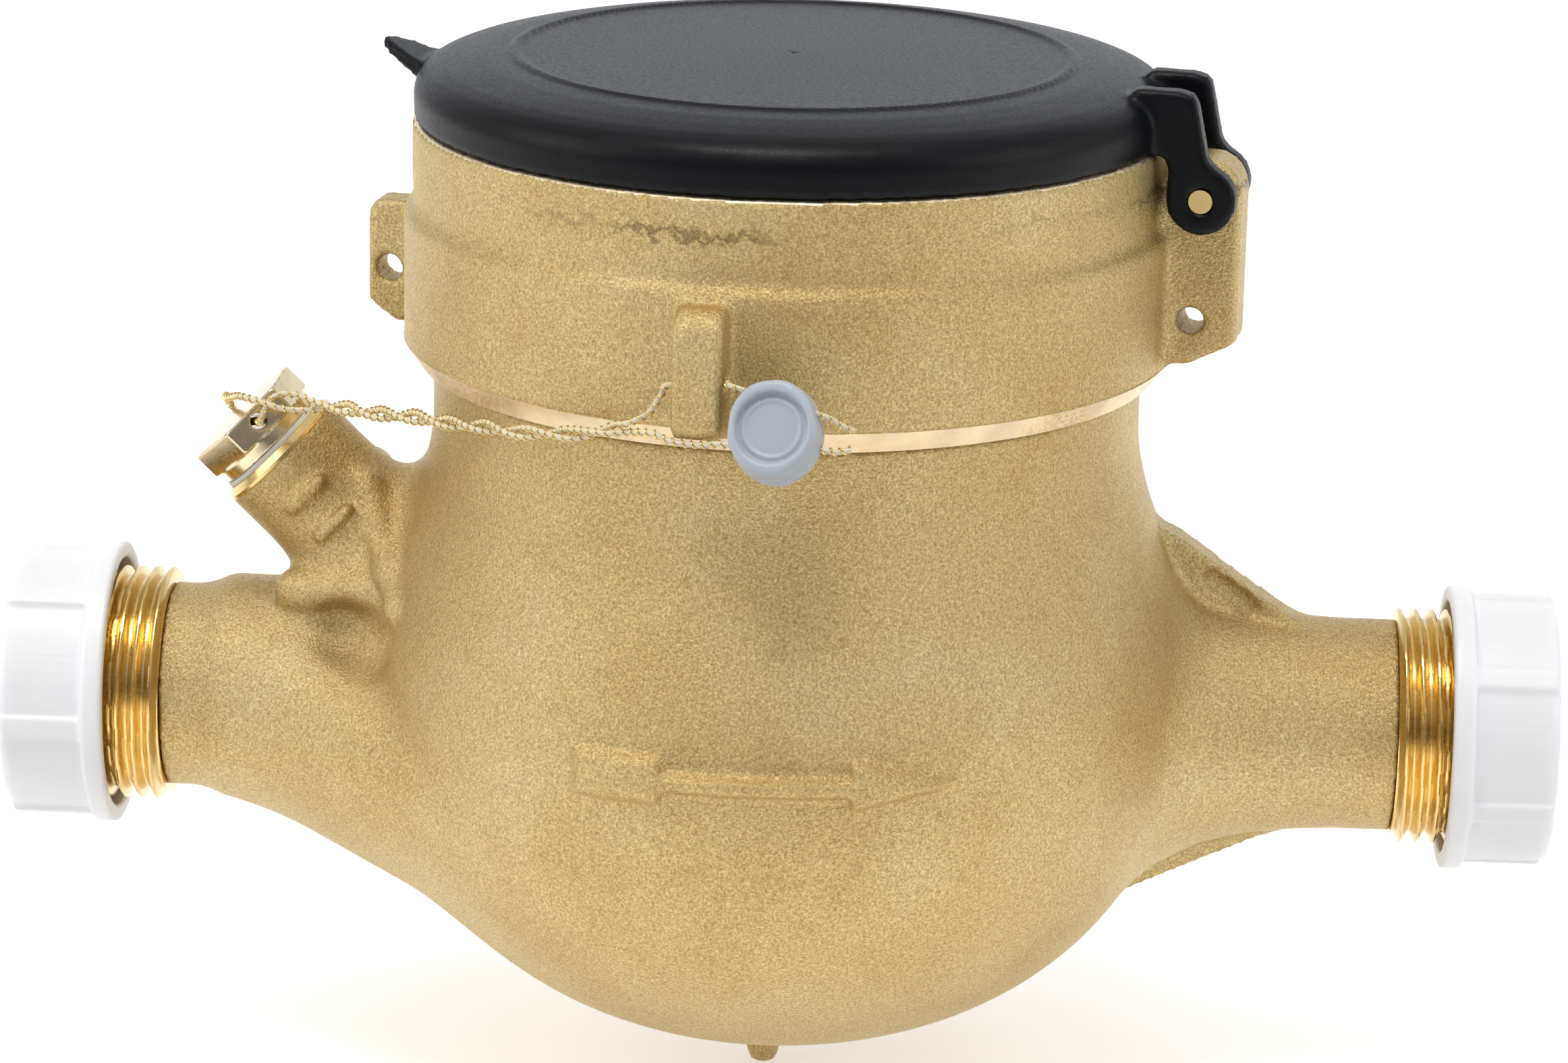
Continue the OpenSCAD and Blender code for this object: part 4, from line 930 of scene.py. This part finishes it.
def lid():
    f = Field((-52, -46, 57), (53, 46, 77), 0.58)
    soft = 0.45
    outer, hollow = lid_shell()
    d = f.revolve(outer)
    r = np.sqrt(f.x**2 + f.y**2)
    raised_line = np.sqrt((r - 30.6) ** 2 + (f.z - (LID_TOP - 0.35)) ** 2) - 0.5
    d = join(d, raised_line, 0.4)
    for side in (-1, 1):
        y_mid = side * (CHEEK_GAP + CHEEK_T / 2)
        d = join(d, f.slab_xz(hinge_cheek(soft), y_mid, CHEEK_T - 2 * soft, HEAD_TURN) - soft, 1.2)
    d = cut(d, f.revolve(hollow), 0.6)
    along, across = f.turned(HEAD_TURN)
    d = cut(d, np.maximum(np.abs(across) - CHEEK_GAP, 42.2 - along))
    pin = np.sqrt((along - HINGE_X) ** 2 + (f.z - HINGE_Z) ** 2) - 1.36
    d = cut(d, np.maximum(pin, 36 - along))
    d = join(d, tongue(f), 1.0)
    pts, quads, normals = f.mesh(d)
    ob = make("lid_cover", pts, quads, LID, normals)
    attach(ob, "lid")
    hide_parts("lid")


lid()


# Caps
def cap(name, side, body_name, node, rib_turn):
    f = Field((-88.5, -17, -17), (-73.5, 17, 17), 0.4)
    r = np.sqrt(f.y**2 + f.z**2)
    d = f.revolve_x([
        (0, CAP_END), (CAP_R - 1.1, CAP_END), (CAP_R - 0.4, CAP_END + 0.2), (CAP_R - 0.05, CAP_END + 0.7),
        (CAP_R, CAP_END + 1.3), (CAP_R + 0.05, CAP_MOUTH - 2.7), (CAP_FLANGE_R - 0.3, CAP_MOUTH - 2.5),
        (CAP_FLANGE_R - 0.05, CAP_MOUTH - 2.2), (CAP_FLANGE_R, CAP_MOUTH - 0.4),
        (CAP_FLANGE_R - 0.2, CAP_MOUTH - 0.05), (0, CAP_MOUTH),
    ])
    sector = math.pi / 3
    angle = np.arctan2(f.z, -f.y) - math.radians(rib_turn)
    near = (angle + sector / 2) % sector - sector / 2
    section = np.maximum(np.abs(r * np.sin(near)) - 0.95, r - CAP_R - 0.25)
    rib = extrude(section, np.maximum(f.x - CAP_MOUTH + 1.1, CAP_END + 0.7 - f.x)) - 0.3
    d = join(d, rib, 0.5)
    d = cut(d, np.maximum(np.maximum(r - CAP_BORE_R, CAP_END + 1.6 - f.x), f.x + 60), 0.2)
    pts, quads, normals = f.mesh(d)
    if side > 0:
        flip = (-1, 1, 1)
        pts, normals, quads = pts * flip, normals * flip, quads[:, ::-1]
    ob = make(name, pts, quads, CAP, normals)
    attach(ob, body_name)
    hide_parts(node)


cap("inlet_cap_cover", -1, "inlet_cap", "inlet_cap", 56)
cap("outlet_cap_cover", 1, "outlet_cap", "outlet_cap", 39)


# Regulator plug
def plug():
    f = Field((-72, -9, 17), (-46, 9, 43), 0.2)
    turn = math.radians(22)
    side, front, t = f.local(REG_AT, REG_SIDE, REG_OUT)
    u = side * math.cos(turn) + front * math.sin(turn)
    v = front * math.cos(turn) - side * math.sin(turn)
    radial = np.sqrt(u * u + v * v)
    slants = [np.abs(v * 0.5 + sign * u * 0.866) for sign in (1, -1)]
    hexagon = np.maximum(np.maximum(np.abs(v), slants[0]), slants[1]) - PLUG_HALF_FLATS
    hexagon = np.maximum(hexagon, np.abs(t - PLUG_MID) - (PLUG_TOP - PLUG_LOW) / 2)
    corners = np.maximum(radial + (t - PLUG_TOP) * 1.6, radial - (t - PLUG_LOW) * 1.6) - 7.0
    collar = np.maximum(radial - 6.5, np.abs(t - 1.25) - 0.75)
    shank = np.maximum(radial - 4.94, np.abs(t + 2) - 4)
    d = join(np.minimum(collar, shank), np.maximum(hexagon, corners), 0.15)
    d = cut(d, np.sqrt(u * u + (t - PLUG_MID) ** 2) - PLUG_HOLE_R, 0.15)
    pts, quads, normals = f.mesh(d)
    ob = make("plug_head", pts, quads, PLUG, normals)
    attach(ob, "meter")
    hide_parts("regulator_plug")


plug()


# Seal: a pressed disc, slightly out of round, with a sunk face and a parting line
def seal():
    f = Field((-6.5, -54, 37), (8.5, -41.5, 53.0), 0.18)
    lean, turn = math.radians(26), math.radians(-9)
    face = (math.sin(turn) * math.cos(lean), -math.cos(turn) * math.cos(lean), math.sin(lean))
    side = (math.cos(turn), math.sin(turn), 0.0)
    u, v, t = f.local(SEAL_AT, side, face)
    a = np.arctan2(v, u)
    edge = SEAL_R + 0.10 * np.cos(2 * a + 2.6) + 0.05 * np.cos(5 * a + 0.7) + 0.03 * np.cos(9 * a)
    edge = edge * (1 + 0.05 * np.clip((0.6 - t) / 2.0, 0, 1))
    oval = np.sqrt(u * u + (v / SEAL_TALL) ** 2)
    d = -join(edge - oval, SEAL_HALF_T - np.abs(t), 0.8)
    r = np.sqrt(u * u + v * v)
    sunk_face = np.maximum(r - 3.6 - (t - 1.4) * 0.25, 1.45 - t)
    d = cut(d, sunk_face, 0.3)
    raised_line = np.sqrt((r - 3.0) ** 2 + (t - 1.42) ** 2) - 0.16
    d = join(d, raised_line, 0.25)
    parting_line = np.maximum(np.abs(t + 0.35) - 0.10, 4.75 - oval)
    d = cut(d, parting_line, 0.15)
    pts, quads, normals = f.mesh(d)
    ob = make("seal_body", pts, quads, PALE, normals)
    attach(ob, "meter")
    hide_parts("seal_disc")
    return ob


seal_body = seal()

# Route of the seal wire: the twisted pair's middle line from the plug to the lug, the
# loop through the plug, and the two ends through the lug and the seal
PAIR = [
    (-50.6, -8.9, 35.6), (-47.5, -12.0, 36.2), (-44.7, -15.3, 36.7), (-40.8, -19.6, 37.7),
    (-37.8, -22.9, 38.3), (-34.6, -26.6, 38.9), (-30.5, -31.2, 39.9), (-27.1, -34.7, 40.4),
    (-23.4, -37.6, 41.2), (-19.9, -39.9, 41.8), (-17.3, -41.5, 42.7), (-14.3, -43.3, 43.7),
]
LOOP = [
    (-53.9, -8.3, 36.6), (-55.5, -8.1, 36.6), (-56.7, -7.9, 36.0), (-57.5, -7.4, 34.7),
    (-58.2, -6.58, 33.0), (-59.1, -3.3, 32.1), (-60.07, 0, 31.12), (-61.0, 3.3, 30.2),
    (-61.93, 6.58, 29.23), (-62.67, 7.6, 29.6), (-63.46, 7.3, 30.95), (-63.58, 4.5, 32.7),
    (-63.1, 1.5, 33.6), (-62.6, -2.0, 34.3), (-60.7, -6.2, 35.7), (-59.0, -8.2, 35.95),
    (-57.1, -9.1, 35.7), (-55.5, -9.1, 35.2), (-53.4, -8.8, 35.0),
]
HIGH_END = [
    (-12.7, -43.5, 45.1), (-11.9, -43.5, 46.1), (-11.2, -43.4, 47.3), (-10.6, -43.46, 48.3),
    (-7.21, -44.01, 48.6), (-4.35, -44.48, 48.85), (-4.05, -45.25, 49.05), (-3.76, -46.18, 49.13),
    (1.15, -46.88, 47.84), (6.07, -47.58, 46.55), (7.4, -47.6, 45.8), (8.9, -47.7, 45.2),
]
LOW_END = [
    (-12.0, -44.9, 43.5), (-10.3, -45.5, 42.9), (-8.1, -45.9, 42.7), (-6.2, -46.5, 42.85),
    (-5.3, -46.82, 43.1), (0.25, -47.45, 43.1), (5.8, -48.07, 43.1), (7.0, -48.1, 42.95),
    (8.7, -47.9, 43.2),
]
PAIR_LAY, PAIR_OFF = 13.0, 0.50
CORE_R = 0.30
COIL_LAY, COIL_OFF, COIL_R = 1.05, 0.36, 0.12


def smooth_line(points, step=0.25):
    """Even points on a smooth curve through the given ones, and the curve's length."""
    p = np.array(points, float)
    ext = np.vstack([2 * p[0] - p[1], p, 2 * p[-1] - p[-2]])
    out = []
    for a, b, c, d in zip(ext[:-3], ext[1:-2], ext[2:-1], ext[3:]):
        for t in np.linspace(0, 1, 16, endpoint=False):
            square = (2 * a - 5 * b + 4 * c - d) * t * t
            cube = (3 * b - a - 3 * c + d) * t**3
            out.append(0.5 * (2 * b + (c - a) * t + square + cube))
    out.append(p[-1])
    out = np.array(out)
    s = np.concatenate([[0], np.cumsum(np.linalg.norm(np.diff(out, axis=0), axis=1))])
    at = np.linspace(0, s[-1], max(2, int(s[-1] / step)))
    return np.stack([np.interp(at, s, out[:, k]) for k in range(3)], axis=1), s[-1]


def helix(path, length, lay, off):
    """Offsets that wind round a path, once for each lay."""
    t = np.gradient(path, axis=0)
    t /= np.linalg.norm(t, axis=1)[:, None]
    u = np.cross(t[0], (0.31, 0.52, 0.8))
    us = []
    for tangent in t:
        u = u - tangent * (u @ tangent)
        u /= np.linalg.norm(u)
        us.append(u)
    us = np.array(us)
    a = np.linspace(0, length, len(path)) / lay * 2 * math.pi
    return off * (np.cos(a)[:, None] * us + np.sin(a)[:, None] * np.cross(t, us))


def wire_path():
    """One strand: in at its high end, along the pair, round the loop, back, and out at its low end."""
    mid, length = smooth_line(PAIR)
    off = helix(mid, length, PAIR_LAY, PAIR_OFF)
    way_in = [tuple(p) for p in (mid + off)[::-1][::8]]
    way_back = [tuple(p) for p in (mid - off)[::8]]
    return smooth_line(HIGH_END[::-1] + way_in + LOOP + way_back + LOW_END)


def rod(name, points, radius, resolution, material):
    data = bpy.data.curves.new(name, "CURVE")
    data.dimensions = "3D"
    spline = data.splines.new("POLY")
    spline.points.add(len(points) - 1)
    for q, p in zip(spline.points, points):
        q.co = (*to_frame(p), 1)
    data.bevel_depth = radius * MM
    data.bevel_resolution = resolution
    data.use_fill_caps = True
    ob = bpy.data.objects.new(name, data)
    scene.collection.objects.link(ob)
    data.materials.append(material)
    return ob


def seal_wire():
    """Plastic core with a fine brass wire wound round it."""
    strand, length = wire_path()
    core = rod("seal_wire_core", strand, CORE_R, 2, NYLON)
    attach(core, "meter")
    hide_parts("seal_wire_loop", "seal_wire_pair", "seal_wire_ends")
    fine, _ = smooth_line([tuple(p) for p in strand[::2]], 0.1)
    coil = rod("seal_wire_coil", fine + helix(fine, length, COIL_LAY, COIL_OFF), COIL_R, 1, BRIGHT)
    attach(coil, "meter")


seal_wire()


# Dial print: ticks and numbers round the pointer, a frame round the drums, digits on the drums
def glyph(text, size):
    """Flat triangles of a text about its middle, cut into strips so that it can bend round a drum."""
    font = bpy.data.curves.new("glyph", "FONT")
    font.body = text
    font.size = size
    font.resolution_u = 4
    ob = bpy.data.objects.new("glyph", font)
    bm = bmesh.new()
    bm.from_mesh(ob.to_mesh())
    for y in np.arange(0, size, size / 12):
        geom = bm.verts[:] + bm.edges[:] + bm.faces[:]
        bmesh.ops.bisect_plane(bm, geom=geom, plane_co=(0, y, 0), plane_no=(0, 1, 0))
    bmesh.ops.triangulate(bm, faces=bm.faces[:])
    bm.verts.index_update()
    pts = np.array([v.co[:2] for v in bm.verts])
    tris = np.array([[v.index for v in face.verts] for face in bm.faces])
    bm.free()
    bpy.data.objects.remove(ob)
    bpy.data.curves.remove(font)
    return pts - (pts.min(axis=0) + pts.max(axis=0)) / 2, tris


def bar(a, b, width):
    a, b = np.array(a), np.array(b)
    along = (b - a) / np.linalg.norm(b - a)
    side = np.array([along[1], -along[0]]) * width / 2
    return np.array([a + side, b + side, b - side, a - side]), np.array([[0, 1, 2], [0, 2, 3]])


def stamp(name, marks, body_name, material):
    """One piece from many marks, each with its points and triangles."""
    pts, tris, count = [], [], 0
    for p, t in marks:
        pts.append(p)
        tris.append(t + count)
        count += len(p)
    ob = make(name, np.vstack(pts), np.vstack(tris), material)
    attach(ob, body_name)


def dial_print():
    marks = []

    def print_flat(shape, at=(0, 0)):
        pts, tris = shape
        marks.append((np.column_stack([pts + at, np.full(len(pts), DIAL_Z)]), tris))

    tick_end, number_r = 7.9, 9.0
    for i in range(100):
        a = math.radians(90 - i * 3.6)
        way = np.array([math.cos(a), math.sin(a)])
        tenth = i % 10 == 0
        tick_start = 6.9 if tenth else 7.2 if i % 5 == 0 else 7.45
        print_flat(bar(HAND_AT + way * tick_start, HAND_AT + way * tick_end, 0.22 if tenth else 0.12))
        if tenth:
            print_flat(glyph(str(i // 10), 1.9), HAND_AT + way * number_r)
    left, right, low, high = -13.3, 10.3, 6.8, 11.2
    corners = [(left, low), (right, low), (right, high), (left, high)]
    for a, b in zip(corners, corners[1:] + corners[:1]):
        print_flat(bar(a, b, 0.35))
    stamp("dial_marks", marks, "meter", INK)


def drum_digits():
    digits = [glyph(str(k), 2.3) for k in range(10)]
    r = DRUM_R + 0.02
    for number in range(1, DRUM_COUNT + 1):
        x = FIRST_DRUM_X + (number - 1) * DRUM_PITCH
        marks = []
        for k, (p, t) in enumerate(digits):
            a = math.radians(36 * k) + p[:, 1] / r
            bent = np.column_stack([p[:, 0] + x, DRUM_Y + r * np.sin(a), DRUM_Z + r * np.cos(a)])
            marks.append((bent, t))
        stamp(f"drum_{number}_digits", marks, f"drum_{number}_body", DIAL)


dial_print()
drum_digits()


# Stage, in metres
def floor():
    """White under and behind the meter, pale grey towards the viewer."""
    bpy.ops.mesh.primitive_plane_add(size=4, location=(AXIS_X * MM, 0, FLOOR_Z * MM))
    plane = bpy.context.object
    plane.name = "floor"
    mat, tree, bsdf = shader("floor_pale")
    depth = spread(tree, axes_of(tree, coords(tree))["Y"], 0, 1, -0.42, -0.10)
    tone = ramp(tree, depth, [(0.0, (0.42, 0.42, 0.43)), (1.0, grey(0.90))])
    tree.links.new(tone, bsdf.inputs["Base Color"])
    bsdf.inputs["Roughness"].default_value = 0.85
    bsdf.inputs["Specular IOR Level"].default_value = 0.1
    tree.links.new(tone, bsdf.inputs["Emission Color"])
    # Lighter only where it is looked at, so that it adds no light to the meter
    path = tree.nodes.new("ShaderNodeLightPath")
    seen = path.outputs["Is Camera Ray"]
    for ray in ("Is Glossy Ray", "Is Transmission Ray"):
        seen = calc(tree, "MAXIMUM", seen, path.outputs[ray])
    tree.links.new(spread(tree, seen, 0.0, 0.5, 0.0, 1.0), bsdf.inputs["Emission Strength"])
    plane.data.materials.append(mat)


def sky():
    """Brighter upwards and behind the meter. The viewer's side is dark near the horizon only."""
    world = bpy.data.worlds.new("studio")
    scene.world = world
    world.use_nodes = True
    tree = world.node_tree
    back = tree.nodes["Background"]
    way = axes_of(tree, tree.nodes.new("ShaderNodeTexCoord").outputs["Generated"])
    height = ramp(tree, spread(tree, way["Z"], 0, 1, -1, 1), [
        (0.0, grey(0.6)), (0.5, grey(0.72)), (0.72, grey(0.88)), (1.0, grey(1.0)),
    ])
    depth = ramp(tree, spread(tree, way["Y"], 0, 1, -1, 1), [
        (0.0, (0.34, 0.34, 0.36)), (0.25, (0.60, 0.60, 0.62)), (0.5, grey(1.0)), (0.8, (1.1, 1.1, 1.12)),
        (0.96, (1.9, 1.95, 2.08)),
    ])
    lift = spread(tree, way["Z"], 0, 1, 0.25, 0.8)
    around = mix(tree, lift, depth, grey(1.0))
    tree.links.new(mix(tree, 1.0, height, around, "MULTIPLY"), back.inputs["Color"])
    back.inputs["Strength"].default_value = 0.72


def lamp(name, at, size, power):
    data = bpy.data.lights.new(name, "AREA")
    data.shape = "DISK"
    data.size = size
    data.energy = power
    ob = bpy.data.objects.new(name, data)
    scene.collection.objects.link(ob)
    ob.location = Vector(at)
    aim = Vector((AXIS_X * MM, 0, 0.015))
    ob.rotation_euler = (aim - Vector(at)).to_track_quat("-Z", "Y").to_euler()


floor()
sky()
lamp("left_box", (-0.80, -0.30, 0.42), 0.7, 2.7)
lamp("right_box", (0.95, -0.26, 0.34), 0.6, 1.6)
lamp("top_box", (0.0, -0.30, 0.95), 0.45, 4.4)
